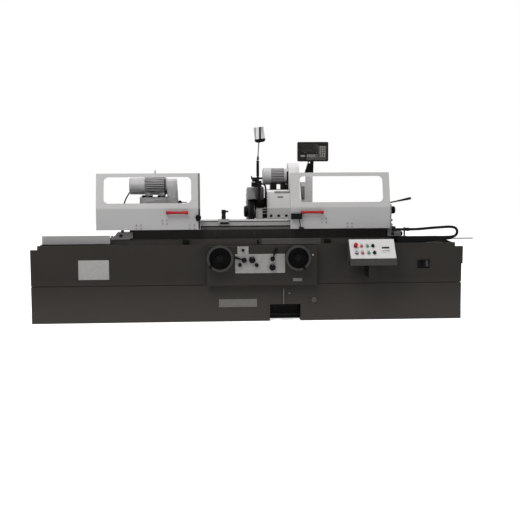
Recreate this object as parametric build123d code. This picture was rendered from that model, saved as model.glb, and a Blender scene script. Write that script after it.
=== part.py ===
from build123d import *
import os
from math import atan2, cos, hypot, pi, radians, sin, tan

# Cylindrical grinder, millimetres. +X runs along the table to the operator's right, +Y from the
# operator to the back, +Z up. The origin is on the floor, under the work axis, at the bed's middle.

# Clearances
SLIDE_GAP = 0.05
RUN_GAP = 0.05
FREE_GAP = 0.5

# Front bed
BED_LENGTH = 4100
BED_FRONT = -420
BED_DEPTH = 720
BED_TOP = 700
BED_WALL = 30
RIM_HEIGHT = 38
RIM_INSET = 66
RIM_WALL = 30
GUTTER_FLOOR = 690
END_SHELF = 627
END_WALL = 12
SEAM_HEIGHT = 354
SEAM_GROOVE = 8
RIB_BAYS = 6
TOE_LEFT = 201
TOE_RIGHT = 494
TOE_HEIGHT = 160
TOE_DEPTH = 152
BED_BACK = BED_FRONT + BED_DEPTH
RIM_TOP = BED_TOP + RIM_HEIGHT
HALF_BED = BED_LENGTH / 2
HALF_RIM = HALF_BED - RIM_INSET

# Table ways and the hydraulic cylinder between them
FLAT_WAY_Y = -170
FLAT_WAY_WIDTH = 80
VEE_WAY_Y = 120
VEE_WAY_WIDTH = 90
VEE_CREST = 8
VEE_RISE = 18
VEE_ROOT = 1
WAY_HEIGHT = 22
TROUGH_FRONT = -105
TROUGH_BACK = 45
TROUGH_FLOOR = 596
TROUGH_END_WALL = 10
CYLINDER_Y = -30
CYLINDER_RADIUS = 46
CYLINDER_WALL = 8
CYLINDER_HALF = 785
CYLINDER_CENTRE = 25
CYLINDER_FLANGE = 58
CYLINDER_FLANGE_WIDTH = 40
ROD_RADIUS = 20
PISTON_HALF = 30
WAY_TOP = GUTTER_FLOOR + WAY_HEIGHT
CYLINDER_Z = TROUGH_FLOOR + CYLINDER_FLANGE

# Lower table, its trip-dog rail and end covers
TABLE_CENTRE = 75
LOWER_TABLE_LENGTH = 2778
LOWER_TABLE_FRONT = -250
LOWER_TABLE_BACK = 190
LOWER_TABLE_THICKNESS = 64
ROD_LUG_WIDTH = 36
ROD_LUG_INSET = 10
DOG_RAIL_LENGTH = 2500
DOG_RAIL_DEPTH = 12
DOG_RAIL_LOW = 722
DOG_RAIL_HEIGHT = 32
DOG_LEFT_X = -593
DOG_RIGHT_X = 766
DOG_WIDTH = 62
DOG_DEPTH = 26
DOG_HEIGHT = 54
DOG_JAW = 6
LEFT_COVER_LENGTH = 638
LEFT_COVER_FRONT = -300
LEFT_COVER_BACK = 90
LEFT_COVER_TOP = 822
RIGHT_COVER_LENGTH = 741
RIGHT_COVER_FRONT = -246
RIGHT_COVER_BACK = -60
RIGHT_COVER_TOP = 766
COVER_SHEET = 4
COVER_SLOPE = 5.6
COVER_CLEAR = 4
COVER_FLANGE = 26
COVER_LIP = 10
HALF_LOWER = LOWER_TABLE_LENGTH / 2
LOWER_LEFT = TABLE_CENTRE - HALF_LOWER
LOWER_RIGHT = TABLE_CENTRE + HALF_LOWER
LOWER_BOTTOM = WAY_TOP + SLIDE_GAP
LOWER_TOP = LOWER_BOTTOM + LOWER_TABLE_THICKNESS

# Upper table
UPPER_INSET = 52
UPPER_OVERHANG = 24
UPPER_FRONT = -240
UPPER_BACK = 70
UPPER_THICKNESS = 72
UPPER_LIP_HEIGHT = 17
PIVOT_RADIUS = 45
PIVOT_HEIGHT = 30
RAIL_HEIGHT = 95
RAIL_WIDTH = 40
RAIL_GROOVE = 10
# Each groove along the rail's front: height above the lip, width
RAIL_GROOVES = ((24, 12), (73, 9))
RAIL_LEFT_INSET = 132
RAIL_RIGHT_INSET = 124
BRACKET_WIDTH = 130
BRACKET_DEPTH = 30
BRACKET_HEIGHT = 56
BRACKET_RISE = 14
# The left bracket reaches past the plate's end: lean of its end, length of its foot, lap behind the face
BRACKET_LEAN = 44
BRACKET_FOOT = 28
BRACKET_LAP = 90
SWIVEL_KNOB_RADIUS = 14
SWIVEL_KNOB_LENGTH = 30
UPPER_LEFT = LOWER_LEFT + UPPER_INSET
UPPER_RIGHT = LOWER_RIGHT + UPPER_OVERHANG
UPPER_BOTTOM = LOWER_TOP + SLIDE_GAP
UPPER_FACE = UPPER_BOTTOM + UPPER_THICKNESS
LIP_TOP = UPPER_FACE + UPPER_LIP_HEIGHT
RAIL_TOP = LIP_TOP + RAIL_HEIGHT
RAIL_BACK = UPPER_FRONT + RAIL_WIDTH
RAIL_X = (UPPER_LEFT + RAIL_LEFT_INSET, UPPER_RIGHT - RAIL_RIGHT_INSET)

# Sliding splash doors
LEFT_DOOR_OVERHANG = 177
LEFT_DOOR_WIDTH = 985
RIGHT_DOOR_INSET = 118
RIGHT_DOOR_WIDTH = 962
LEFT_DOOR_START = UPPER_LEFT - LEFT_DOOR_OVERHANG
RIGHT_DOOR_END = UPPER_RIGHT - RIGHT_DOOR_INSET
LEFT_DOOR = (LEFT_DOOR_START, LEFT_DOOR_START + LEFT_DOOR_WIDTH)
RIGHT_DOOR = (RIGHT_DOOR_END - RIGHT_DOOR_WIDTH, RIGHT_DOOR_END)
DOOR_FRONT = -330
DOOR_LOW = 874
DOOR_CREASE = 1079
DOOR_TOP = 1407
DOOR_LEAN = 100
DOOR_SHEET = 4
DOOR_FLANGE = 40
# Width of each door's frame beside its window, left and right
LEFT_FRAME = (73, 85)
RIGHT_FRAME = (90, 67)
WINDOW_LOW = 1126
WINDOW_HIGH = 1371
WINDOW_CORNER = 44
PANE_LAP = 16
PANE_THICKNESS = 5
RUNNER_LENGTH = 160
RUNNER_INSET = 60
LEFT_RUNNER_INSET = 330
RUNNER_THICKNESS = 8

# Work head
WORK_Z = 995
HEAD_INSET = 222
HEAD_LENGTH = 270
HEAD_LEFT = UPPER_LEFT + HEAD_INSET
HEAD_RIGHT = HEAD_LEFT + HEAD_LENGTH
HEAD_FRONT = -130
HEAD_BACK = 118
HEAD_FOOT_FRONT = -190
HEAD_FOOT_BACK = 66
HEAD_FOOT_HEIGHT = 40
HEAD_TOP = 1108
HEAD_SADDLE_HEIGHT = 62
HEAD_SADDLE_INSET = 2
HEAD_COVER_WIDTH = 107
HEAD_COVER_TOP = 1345
HEAD_COVER_LEAN = 14
HEAD_COVER_HALF = 112
HEAD_COVER_WALL = 4
HEAD_COVER_FLOOR = 890
HEAD_COVER_ROUND = 20
MOTOR_Z = 1277
MOTOR_RADIUS = 86
MOTOR_FIN = 9
MOTOR_FINS = 30
MOTOR_FIN_THICKNESS = 5
MOTOR_FIN_ROOT = 4
MOTOR_END_BELL = 16
MOTOR_BODY_LENGTH = 235
MOTOR_FAN_LENGTH = 133
MOTOR_FAN_ROUND = 16
MOTOR_FOOT_HALF = 70
MOTOR_FOOT_PAD = 24
MOTOR_FOOT_RISE = 0.8
EYE_RADIUS = 22
EYE_WIRE = 7
EYE_STEM = 20
WORK_SPINDLE_RADIUS = 42
WORK_NOSE_LENGTH = 40
FACE_PLATE_RADIUS = 90
FACE_PLATE_WIDTH = 26
FACE_PLATE_PCD = 140
FACE_PLATE_HOLE = 5.5
FACE_PLATE_HOLES = 6
CENTRE_RADIUS = 16
CENTRE_LENGTH = 70
CENTRE_FLAT = 1
WORK_PULLEY_RADIUS = 85
MOTOR_PULLEY_RADIUS = 38
PULLEY_WIDTH = 60
ROTOR_RADIUS = 14
ROTOR_DEPTH = 60

# Tailstock
TAIL_INSET = 64
TAIL_LENGTH = 364
TAIL_RIGHT = UPPER_RIGHT - TAIL_INSET
TAIL_LEFT = TAIL_RIGHT - TAIL_LENGTH
TAIL_FRONT = -110
TAIL_BACK = 110
TAIL_FOOT_HEIGHT = 36
TAIL_BARREL = 70
QUILL_RADIUS = 32
QUILL_OUT = 60
QUILL_LENGTH = 260
QUILL_TRAVEL = 30
TAIL_BLOCK = 134
LEVER_INSET = 84
LEVER_X = TAIL_RIGHT - LEVER_INSET
LEVER_Z = 1094
LEVER_BOSS = 22
LEVER_ROD = 7
LEVER_REACH_X = 261
LEVER_REACH_Z = 53
LEVER_BALL = 13
LEVER_GRIP_START = 0.45
LEVER_STAND = 34
LEVER_PIN = 9
LEVER_PIN_DEPTH = 20
BOSS_DEPTH = 40
TAIL_BLOCK_TOP = 1088

# Rear bed and its ways
REAR_LEFT = -170
REAR_RIGHT = 790
REAR_BACK = 1330
REAR_TOP = 760
REAR_WAY_LEFT = 160
REAR_WAY_RIGHT = 396
REAR_WAY_WIDTH = 70
REAR_WAY_HEIGHT = 30
REAR_WAY_START = 320
SLIDE_BOTTOM = REAR_TOP + REAR_WAY_HEIGHT + SLIDE_GAP

# Wheelhead
HEADSTOCK_LEFT = 231
HEADSTOCK_RIGHT = 466
HEADSTOCK_FRONT = 330
HEADSTOCK_BACK = 860
SLIDE_LEFT = 150
SLIDE_RIGHT = 466
SLIDE_FRONT = 340
SLIDE_BACK = 1000
SLIDE_HEIGHT = 135
HOUSING_HEIGHT = 107
COVER_HEIGHT = 173
COVER_ROUND = 12
HOUSING_BOTTOM = SLIDE_BOTTOM + SLIDE_HEIGHT
HOUSING_TOP = HOUSING_BOTTOM + HOUSING_HEIGHT
COVER_TOP = HOUSING_TOP + COVER_HEIGHT
NOSE_FRONT = 300
NOSE_BACK = 540
NOSE_SLOT = 51
BOLT_RECESSES = 3
BOLT_RECESS_RADIUS = 16
BOLT_RECESS_DEPTH = 18
BOLT_RECESS_RISE = 28
WHEEL_Y = 420
WHEEL_RADIUS = 200
WHEEL_BORE = 101.5
WHEEL_WIDTH = 46
WHEEL_LEFT = 47
FLANGE_RADIUS = 130
FLANGE_WIDTH = 7
SPINDLE_RADIUS = 25
SPINDLE_CAP_RADIUS = 57
SPINDLE_CAP_LEFT = -2
SPINDLE_CAP_ROUND = 18
GUARD_RADIUS = 247
GUARD_WALL = 4
GUARD_SIDE_GAP = 3
GUARD_LIP_Z = 1128
GUARD_FLOOR = 805
GUARD_BOX_RIGHT = 190
GUARD_BOX_FRONT = 230
GUARD_BOX_BACK = 470
GUARD_BOX_TOP = 1248
GUARD_RING = 5
SHROUD_RIGHT = 228
SHROUD_Y = (404, 500)
SHROUD_LAP = 3
GUARD_RIGHT = WHEEL_LEFT + WHEEL_WIDTH + FLANGE_WIDTH + GUARD_SIDE_GAP + GUARD_WALL
SPINDLE_PULLEY_RADIUS = 80
DRIVE_PULLEY_RADIUS = 63
BELT_THICKNESS = 9
BELT_GAP = 0.3
BELT_COVER_RIGHT = 583
BELT_COVER_GAP = 6
BELT_COVER_WALL = 4
BELT_COVER_LOW_RADIUS = 110
BELT_COVER_HIGH_RADIUS = 140
BELT_COVER_LEFT = HEADSTOCK_RIGHT + BELT_COVER_GAP
BELT_PULLEY_INSET = 18
BELT_PULLEY_WIDTH = 66
BELT_PULLEY = (BELT_COVER_LEFT + BELT_PULLEY_INSET, BELT_COVER_LEFT + BELT_PULLEY_INSET + BELT_PULLEY_WIDTH)
DRIVE_Y = 700
DRIVE_Z = 1343
DRIVE_RADIUS = 76
DRIVE_BODY_LEFT = 278
DRIVE_FAN_LEFT = 209
DRIVE_FAN_RADIUS = 88
DRIVE_BELL = 40
DRIVE_FOOT_HALF = 66
FEED_SCREW_X = 313
FEED_SCREW_RADIUS = 20
FEED_SCREW_START = 360
FEED_SCREW_END = 1250
FEED_SCREW_Z = 700
FEED_NUT_WIDTH = 90
FEED_NUT_Y = 640
FEED_NUT_LENGTH = 80
FEED_SLOT_GAP = 12
SCREW_BEARING_WIDTH = 40
SCREW_COLLAR = 10

# Coolant valve, nozzle and hose on the wheel guard
VALVE_X = 110
VALVE_HALF = 32
VALVE_HEIGHT = 62
VALVE_Y = 345
VALVE_STEM = 42
VALVE_SIDE_LEFT = 72
VALVE_SIDE_HEIGHT = 48
VALVE_HANDLE = (70, 182)
VALVE_HANDLE_RADIUS = 7
NOZZLE_RADIUS = 9
NOZZLE_DROP = 1104
HOSE_RADIUS = 9
HOSE_COLLAR = 10
VALVE_RIGHT = VALVE_X + 2 * VALVE_HALF
COOLANT_Z = GUARD_BOX_TOP + 30
COOLANT_END_X = 214
COOLANT_END_Y = 388
COOLANT_ROUTE = [(VALVE_RIGHT, VALVE_Y, COOLANT_Z), (VALVE_RIGHT + 24, VALVE_Y, COOLANT_Z),
                 (VALVE_RIGHT + 41, VALVE_Y + 4, COOLANT_Z - 24),
                 (VALVE_RIGHT + 45, VALVE_Y + 12, COOLANT_Z - 78),
                 (COOLANT_END_X + 4, COOLANT_END_Y - 20, HOUSING_TOP + 98),
                 (COOLANT_END_X, COOLANT_END_Y, HOUSING_TOP + 46),
                 (COOLANT_END_X, COOLANT_END_Y, HOUSING_TOP + HOSE_COLLAR)]

# Lamp on the wheel guard
LAMP_X = 142
LAMP_Y = 430
LAMP_POST_RADIUS = 11
LAMP_POST_TOP = 1500
LAMP_KNUCKLE = 16
LAMP_FORK = 5
LAMP_PIN = 5
LAMP_ARM_REACH = 12
LAMP_ARM_RISE = 197
LAMP_ELBOW = (LAMP_X + LAMP_ARM_REACH, LAMP_POST_TOP + LAMP_ARM_RISE)
LAMP_LUG = 7
LAMP_LUG_REACH = 22
LAMP_KNUCKLE_WIDTH = 24
LAMP_STEM_RADIUS = 6
LAMP_HEAD_RADIUS = 52
LAMP_HEAD_LENGTH = 136
LAMP_HEAD_TILT = 6.5
LAMP_HEAD_OFFSET = 8
LAMP_HEAD_RISE = 18
LAMP_WALL = 3
LAMP_CAP = 20

# Digital readout
READOUT_COLUMN_X = (645, 708)
READOUT_PEDESTAL_LEFT = 591
READOUT_PEDESTAL_TOP = 1288
READOUT_COLUMN_Y = (450, 560)
READOUT_COLUMN_TOP = 1352
READOUT_COLUMN_WALL = 5
READOUT_NECK_LOW_X = (622, 718)
READOUT_NECK_HIGH_X = (668, 722)
READOUT_NECK_HALF = 24
READOUT_NECK_HOLE = 9
READOUT_HOLE_DROP = 12
READOUT_BOX_X = (557, 873)
READOUT_BOX_Z = (1500, 1700)
READOUT_BOX_DEPTH = 62
READOUT_PIVOT_X = 676
READOUT_PIN = 12
READOUT_ROUND = 14

# Apron and its controls
APRON_X = (-397, 643)
APRON_Z = (354, 727)
APRON_DEPTH = 70
APRON_ROUND = 10
APRON_FRONT = BED_FRONT - APRON_DEPTH
PANEL_X = (-133, 339)
PANEL_Z = (471, 652)
PANEL_THICKNESS = 6
PANEL_FRONT = APRON_FRONT - PANEL_THICKNESS
SMALL_PLATE_X = (-110, -6)
SMALL_PLATE_TOP = 725
KNOB_SHAFT = 6
KNOB_STAND = 3
KNOB_DEPTH = 24
CONTROL_DEPTH = 20
CONTROL_BALL = 11
CONTROL_PLACES = {
    "left_valve_lever": (-48, 596, 24),
    "left_valve_knob": (27, 598, 30),
    "right_valve_lever": (220, 606, 22),
    "right_valve_knob": (219, 526, 30),
}
CONTROL_LEVERS = {"left_valve_lever": (-84, 27), "right_valve_lever": (37, 98)}
TABLE_WHEEL_X = -276
CROSS_WHEEL_X = 458
HANDWHEEL_Z = 619
TABLE_WHEEL_RADIUS = 125
CROSS_WHEEL_RADIUS = 120
HANDWHEEL_RIM = 22
HANDWHEEL_RIM_DEPTH = 26
HANDWHEEL_STAND = 62
HANDWHEEL_WEB = 8
HANDWHEEL_WEB_GAP = 22
HANDWHEEL_HUB = 34
HANDWHEEL_SHAFT = 14
HANDWHEEL_SHAFT_DEPTH = 60
GRIP_RADIUS = 13
GRIP_LENGTH = 70
TABLE_GRIP_ANGLE = 219
CROSS_GRIP_ANGLE = 300

# Reversing lever at the front of the bed
REVERSE_X = 98
REVERSE_BOSS = 15
REVERSE_SHAFT = 9
REVERSE_HEIGHT = 60
REVERSE_WIDTH = 18
REVERSE_THICKNESS = 14
REVERSE_Z = 706

# Console
CONSOLE_X = (933, 1372)
CONSOLE_FRONT = -680
CONSOLE_BACK = -500
CONSOLE_LOW = 553
CONSOLE_SKIRT = 613
CONSOLE_TOP = 786
CONSOLE_RUN = 160
CONSOLE_WALL = 3
CONSOLE_PANEL = 4
CONSOLE_MARGIN = 6
ARM_X = (1112, 1188)
ARM_Z = (428, 503)
ARM_FRONT = -660
ARM_POST = 90
BUTTON_STEM = 6
STEM_INSIDE = 14
# Each console control: distance from the left edge, height up the slope, radius, rise and stand-off
CONSOLE_BUTTONS = {
    "stop_button": (62, 0.62, 19, 38, 4.5),
    "wheel_stop_button": (119, 0.62, 13.5, 9, 4.5),
    "wheel_start_button": (174, 0.62, 13.5, 9, 4.5),
    "mode_selector": (66, 0.28, 15, 16, 0.5),
    "work_stop_button": (121, 0.28, 13.5, 9, 4.5),
    "work_start_button": (179, 0.28, 13.5, 9, 4.5),
}

# Isolator switch and foot pedal
ISOLATOR_INSET = 311
ISOLATOR_WIDTH = 120
ISOLATOR_X = (HALF_BED - ISOLATOR_INSET - ISOLATOR_WIDTH, HALF_BED - ISOLATOR_INSET)
ISOLATOR_Z = (493, 575)
ISOLATOR_DEPTH = 26
ISOLATOR_KNOB = 24
ISOLATOR_SHAFT = 8
ISOLATOR_SHAFT_DEPTH = 24
ISOLATOR_BAR = 14
ISOLATOR_PROUD = 6
PEDAL_PIN_RADIUS = 9
PEDAL_PIN_Z = 56
PEDAL_PIN_BACK = 60
PEDAL_WIDTH = 120
PEDAL_THICKNESS = 12
PEDAL_FRONT_GAP = 18

# Hose tray and the table's hydraulic hose
TRAY_LENGTH = 532
TRAY_TAPER = 290
TRAY_END_INSET = 93
LOOP_Y = -360
TRAY_HALF = 44
TRAY_Y = (LOOP_Y - TRAY_HALF, LOOP_Y + TRAY_HALF)
TRAY_TOP = 796
TRAY_BACK_TOP = 782
TRAY_FLOOR = 770
TRAY_SHEET = 3
TRAY_X = (HALF_BED - TRAY_END_INSET - TRAY_LENGTH, HALF_BED - TRAY_END_INSET)
LOOP_RADIUS = 13
LOOP_REST = 0.5
GLAND_START = 45
GLAND_LENGTH = 30
GLAND_WALL = 2
HOSE_ARM_DEPTH = 40
HOSE_LUG_THICKNESS = 8
HOSE_LUG_REACH = 25
HOSE_LUG_LOW = 848
HOSE_LUG_TOP = 876
LOOP_START_Z = (HOSE_LUG_LOW + HOSE_LUG_TOP) / 2
JUNCTION_INSET = 84
JUNCTION_WIDTH = 32
# Reach of the block from the pipe's axis, to the front and back, down and up
JUNCTION_FRONT = 22
JUNCTION_BACK = 12
JUNCTION_DROP = 20
JUNCTION_RISE = 31
JUNCTION_Y = (LOOP_Y - JUNCTION_FRONT, LOOP_Y + JUNCTION_BACK)
JUNCTION_Z = (LOOP_START_Z - JUNCTION_DROP, LOOP_START_Z + JUNCTION_RISE)
HOSE_LUG_X = 60
LOOP_START_X = LOWER_RIGHT + HOSE_LUG_X
LOOP_TURN_X = HALF_BED - 33
LOOP_LOW_Z = TRAY_FLOOR + LOOP_RADIUS + LOOP_REST
LOOP_END_X = TRAY_X[0] + GLAND_START + GLAND_LENGTH
UPPER_RUN = LOOP_TURN_X - 73 - LOOP_START_X
LOWER_RUN = LOOP_TURN_X - 63 - LOOP_END_X
LOOP_ROUTE = [
    (LOOP_START_X, LOOP_Y, LOOP_START_Z),
    (LOOP_START_X + 0.26 * UPPER_RUN, LOOP_Y, LOOP_START_Z),
    (LOOP_START_X + 0.52 * UPPER_RUN, LOOP_Y - 1, LOOP_START_Z + 11),
    (LOOP_START_X + 0.79 * UPPER_RUN, LOOP_Y, LOOP_START_Z + 18),
    (LOOP_START_X + UPPER_RUN, LOOP_Y, LOOP_START_Z + 23),
    (LOOP_TURN_X - 23, LOOP_Y - 1, LOOP_START_Z + 15),
    (LOOP_TURN_X, LOOP_Y - 1, LOOP_LOW_Z + 70),
    (LOOP_TURN_X, LOOP_Y - 1, LOOP_LOW_Z + 35),
    (LOOP_TURN_X - 20, LOOP_Y, LOOP_LOW_Z + 10),
    (LOOP_END_X + LOWER_RUN, LOOP_Y, LOOP_LOW_Z + 1),
    (LOOP_END_X + 0.82 * LOWER_RUN, LOOP_Y - 1, LOOP_LOW_Z),
    (LOOP_END_X + 0.6 * LOWER_RUN, LOOP_Y, LOOP_LOW_Z + 0.6),
    (LOOP_END_X + 0.37 * LOWER_RUN, LOOP_Y - 1, LOOP_LOW_Z),
    (LOOP_END_X + 0.19 * LOWER_RUN, LOOP_Y, LOOP_LOW_Z),
    (LOOP_END_X, LOOP_Y, LOOP_LOW_Z),
]

# Dresser on the table's front rail
DRESSER_X = -229
DRESSER_WIDTH = 106
DRESSER_SADDLE = 5
DRESSER_POST = 16
DRESSER_KNOB_REACH = 46
DRESSER_TOP = 1054
DRESSER_JAW = 14
DRESSER_JAW_LOW = 916


def middle(span):
    return (span[0] + span[1]) / 2


def block(x, y, z):
    """A box from its (low, high) pairs."""
    centre = [middle(span) for span in (x, y, z)]
    size = [high - low for low, high in (x, y, z)]
    return Pos(*centre) * Box(*size)


def rod_x(x, y, z, radius):
    return Pos(middle(x), y, z) * Rot(0, 90, 0) * Cylinder(radius, x[1] - x[0])


def rod_y(y, x, z, radius):
    return Pos(x, middle(y), z) * Rot(90, 0, 0) * Cylinder(radius, y[1] - y[0])


def rod_z(z, x, y, radius):
    return Pos(x, y, middle(z)) * Cylinder(radius, z[1] - z[0])


def prism_x(outline, x):
    """Extrude a (Y, Z) outline along X."""
    face = make_face(Polyline(*outline, close=True))
    return extrude(Plane.YZ.offset(x[0]) * face, x[1] - x[0])


def belt_loop(low_radius, high_radius, x):
    """The outline of a belt round two pulleys in the YZ plane, extruded along X."""
    rise = DRIVE_Z - WORK_Z
    run = DRIVE_Y - WHEEL_Y
    span = hypot(run, rise)
    lean = atan2(rise, run)
    # The straight runs leave each circle square to this direction
    open_angle = (high_radius - low_radius) / span
    side = (1 - open_angle**2) ** 0.5
    points = []
    for sign in (1, -1):
        normal = (-open_angle * cos(lean) - sign * side * sin(lean),
                  -open_angle * sin(lean) + sign * side * cos(lean))
        low = (WHEEL_Y + low_radius * normal[0], WORK_Z + low_radius * normal[1])
        high = (DRIVE_Y + high_radius * normal[0], DRIVE_Z + high_radius * normal[1])
        points.append((low, high))
    straight = [points[0][0], points[0][1], points[1][1], points[1][0]]
    loop = prism_x(straight, x)
    loop += rod_x(x, WHEEL_Y, WORK_Z, low_radius)
    loop += rod_x(x, DRIVE_Y, DRIVE_Z, high_radius)
    return loop


def hose_path(points):
    """Straight runs joined by arcs as large as the runs allow, with its radii."""
    ends = [Vector(*point) for point in points]
    radii = []
    for before, at, after in zip(ends, ends[1:], ends[2:]):
        first = at - before
        second = after - at
        turn = radians(first.get_angle(second))
        radii.append(0.45 * min(first.length, second.length) / tan(turn / 2))
    return FilletPolyline(*ends, radius=radii), radii


def hose(points, radius, name):
    path, radii = hose_path(points)
    tube = sweep(Plane(path @ 0, z_dir=path % 0) * Circle(radius), path=path)
    print(name, "length", round(path.length, 1), "least bend", round(min(radii), 1),
          "volume ratio", round(tube.volume / (pi * radius**2 * path.length), 4))
    return tube


def motor(left, right, y, z, radius, fan_left, fan_radius, fin, bell, foot_low, foot_half):
    """A foot motor with ribs along its body and a plain fan cover, shaft along X."""
    body = rod_x((left, right), y, z, radius)
    ribs = (left + MOTOR_END_BELL, right - bell)
    rib = Box(ribs[1] - ribs[0], MOTOR_FIN_THICKNESS, fin + MOTOR_FIN_ROOT)
    for index in range(MOTOR_FINS):
        turn = Rot(360 / MOTOR_FINS * index, 0, 0)
        body += Pos(middle(ribs), y, z) * turn * Pos(0, 0, radius + (fin - MOTOR_FIN_ROOT) / 2) * rib
    body += rod_x((right - bell, right), y, z, radius + fin / 2)
    fan = rod_x((fan_left, left + MOTOR_END_BELL), y, z, fan_radius)
    body += fillet(fan.edges().group_by(Axis.X)[0], MOTOR_FAN_ROUND)
    for start in (left + MOTOR_FOOT_PAD, right - 3 * MOTOR_FOOT_PAD):
        body += block((start, start + 2 * MOTOR_FOOT_PAD), (y - foot_half, y + foot_half),
                      (foot_low, z - radius * MOTOR_FOOT_RISE))
    return body


def vee_outline(gap, base):
    """The V-way's section, grown by a gap on its slopes."""
    half = VEE_WAY_WIDTH / 2 + gap
    crest = VEE_CREST / 2 + gap
    top = WAY_TOP + VEE_RISE + gap
    return [(VEE_WAY_Y - half, base), (VEE_WAY_Y - half, GUTTER_FLOOR), (VEE_WAY_Y - crest, top),
            (VEE_WAY_Y + crest, top), (VEE_WAY_Y + half, GUTTER_FLOOR), (VEE_WAY_Y + half, base)]


def bed_casting():
    bed = block((-HALF_BED, HALF_BED), (BED_FRONT, BED_BACK), (0, BED_TOP))
    bed += block((-HALF_RIM, HALF_RIM), (BED_FRONT, BED_BACK), (BED_TOP, RIM_TOP))
    # Coolant gutter inside the rim, with the two ways left standing in it
    gutter_x = (-HALF_RIM + RIM_WALL, HALF_RIM - RIM_WALL)
    gutter_y = (BED_FRONT + RIM_WALL, BED_BACK - RIM_WALL)
    bed -= block(gutter_x, gutter_y, (GUTTER_FLOOR, RIM_TOP))
    flat_way = (FLAT_WAY_Y - FLAT_WAY_WIDTH / 2, FLAT_WAY_Y + FLAT_WAY_WIDTH / 2)
    bed += block(gutter_x, flat_way, (GUTTER_FLOOR, WAY_TOP))
    bed += prism_x(vee_outline(0, GUTTER_FLOOR - VEE_ROOT), gutter_x)
    # Trough for the table's cylinder
    bed -= block((gutter_x[0] + TROUGH_END_WALL, gutter_x[1] - TROUGH_END_WALL),
                 (TROUGH_FRONT, TROUGH_BACK), (TROUGH_FLOOR, RIM_TOP))
    # Lower shelf at each end, behind the front wall
    for side in (-1, 1):
        shelf = sorted((side * (gutter_x[1] + END_WALL), side * HALF_BED))
        bed -= block(shelf, (BED_FRONT + RIM_WALL, BED_BACK), (END_SHELF, RIM_TOP))
    # Hollow underside between cross ribs
    cavity_top = TROUGH_FLOOR - BED_WALL
    pitch = (BED_LENGTH - BED_WALL) / RIB_BAYS
    for bay in range(RIB_BAYS):
        start = -HALF_BED + BED_WALL + bay * pitch
        bed -= block((start, start + pitch - BED_WALL),
                     (BED_FRONT + BED_WALL, BED_BACK - BED_WALL), (0, cavity_top))
    # Toe recess, walled off from the hollow
    toe_back = BED_FRONT + TOE_DEPTH
    bed += block((TOE_LEFT - BED_WALL, TOE_RIGHT + BED_WALL), (BED_FRONT, toe_back + BED_WALL),
                 (0, TOE_HEIGHT + BED_WALL))
    bed -= block((TOE_LEFT, TOE_RIGHT), (BED_FRONT, toe_back), (0, TOE_HEIGHT))
    pin_y = toe_back - PEDAL_PIN_BACK
    pin_span = (TOE_LEFT - BED_WALL / 2, TOE_RIGHT + BED_WALL / 2)
    bed -= rod_x(pin_span, pin_y, PEDAL_PIN_Z, PEDAL_PIN_RADIUS + RUN_GAP)
    # Seam groove round the front and ends
    groove_z = (SEAM_HEIGHT - SEAM_GROOVE / 2, SEAM_HEIGHT + SEAM_GROOVE / 2)
    bed -= block((-HALF_BED, HALF_BED), (BED_FRONT, BED_FRONT + SEAM_GROOVE), groove_z)
    for side in (-1, 1):
        end = sorted((side * HALF_BED, side * (HALF_BED - SEAM_GROOVE)))
        bed -= block(end, (BED_FRONT, BED_BACK), groove_z)
    # Bores for the reversing lever and the isolator
    bed -= rod_y((BED_FRONT, BED_FRONT + RIM_WALL), REVERSE_X, REVERSE_Z, REVERSE_SHAFT + RUN_GAP)
    recess = (BED_FRONT, BED_FRONT + ISOLATOR_DEPTH)
    bed -= block(ISOLATOR_X, recess, ISOLATOR_Z)
    bed -= rod_y((recess[1], recess[1] + ISOLATOR_SHAFT_DEPTH), middle(ISOLATOR_X), middle(ISOLATOR_Z),
                 ISOLATOR_SHAFT + RUN_GAP)
    return bed


def rear_bed():
    deck = REAR_TOP - BED_WALL
    bed = block((REAR_LEFT, REAR_RIGHT), (BED_BACK, REAR_BACK), (0, REAR_TOP))
    bed -= block((REAR_LEFT + BED_WALL, REAR_RIGHT - BED_WALL),
                 (BED_BACK + BED_WALL, REAR_BACK - BED_WALL), (0, deck))
    for way in (REAR_WAY_LEFT, REAR_WAY_RIGHT):
        bed += block((way, way + REAR_WAY_WIDTH), (REAR_WAY_START, REAR_BACK - BED_WALL),
                     (REAR_TOP, REAR_TOP + REAR_WAY_HEIGHT))
    # Slot that the feed nut travels in, between the screw's two bearings
    half_nut = FEED_NUT_WIDTH / 2
    bed -= block((FEED_SCREW_X - half_nut - FEED_SLOT_GAP, FEED_SCREW_X + half_nut + FEED_SLOT_GAP),
                 (FEED_SCREW_START + SCREW_BEARING_WIDTH, FEED_SCREW_END - SCREW_BEARING_WIDTH),
                 (deck, REAR_TOP))
    for start in (FEED_SCREW_START, FEED_SCREW_END - SCREW_BEARING_WIDTH):
        bed += block((FEED_SCREW_X - half_nut, FEED_SCREW_X + half_nut),
                     (start, start + SCREW_BEARING_WIDTH), (FEED_SCREW_Z - half_nut, deck))
    bed -= rod_y((FEED_SCREW_START, FEED_SCREW_END), FEED_SCREW_X, FEED_SCREW_Z, FEED_SCREW_RADIUS + RUN_GAP)
    return bed


def feed_screw():
    ends = (FEED_SCREW_START - SCREW_COLLAR, FEED_SCREW_END + SCREW_COLLAR)
    screw = rod_y(ends, FEED_SCREW_X, FEED_SCREW_Z, FEED_SCREW_RADIUS)
    for start in (ends[0], FEED_SCREW_END + FREE_GAP):
        stop = start + SCREW_COLLAR - FREE_GAP
        screw += rod_y((start, stop), FEED_SCREW_X, FEED_SCREW_Z, FEED_SCREW_RADIUS + SCREW_COLLAR)
    return screw


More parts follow.
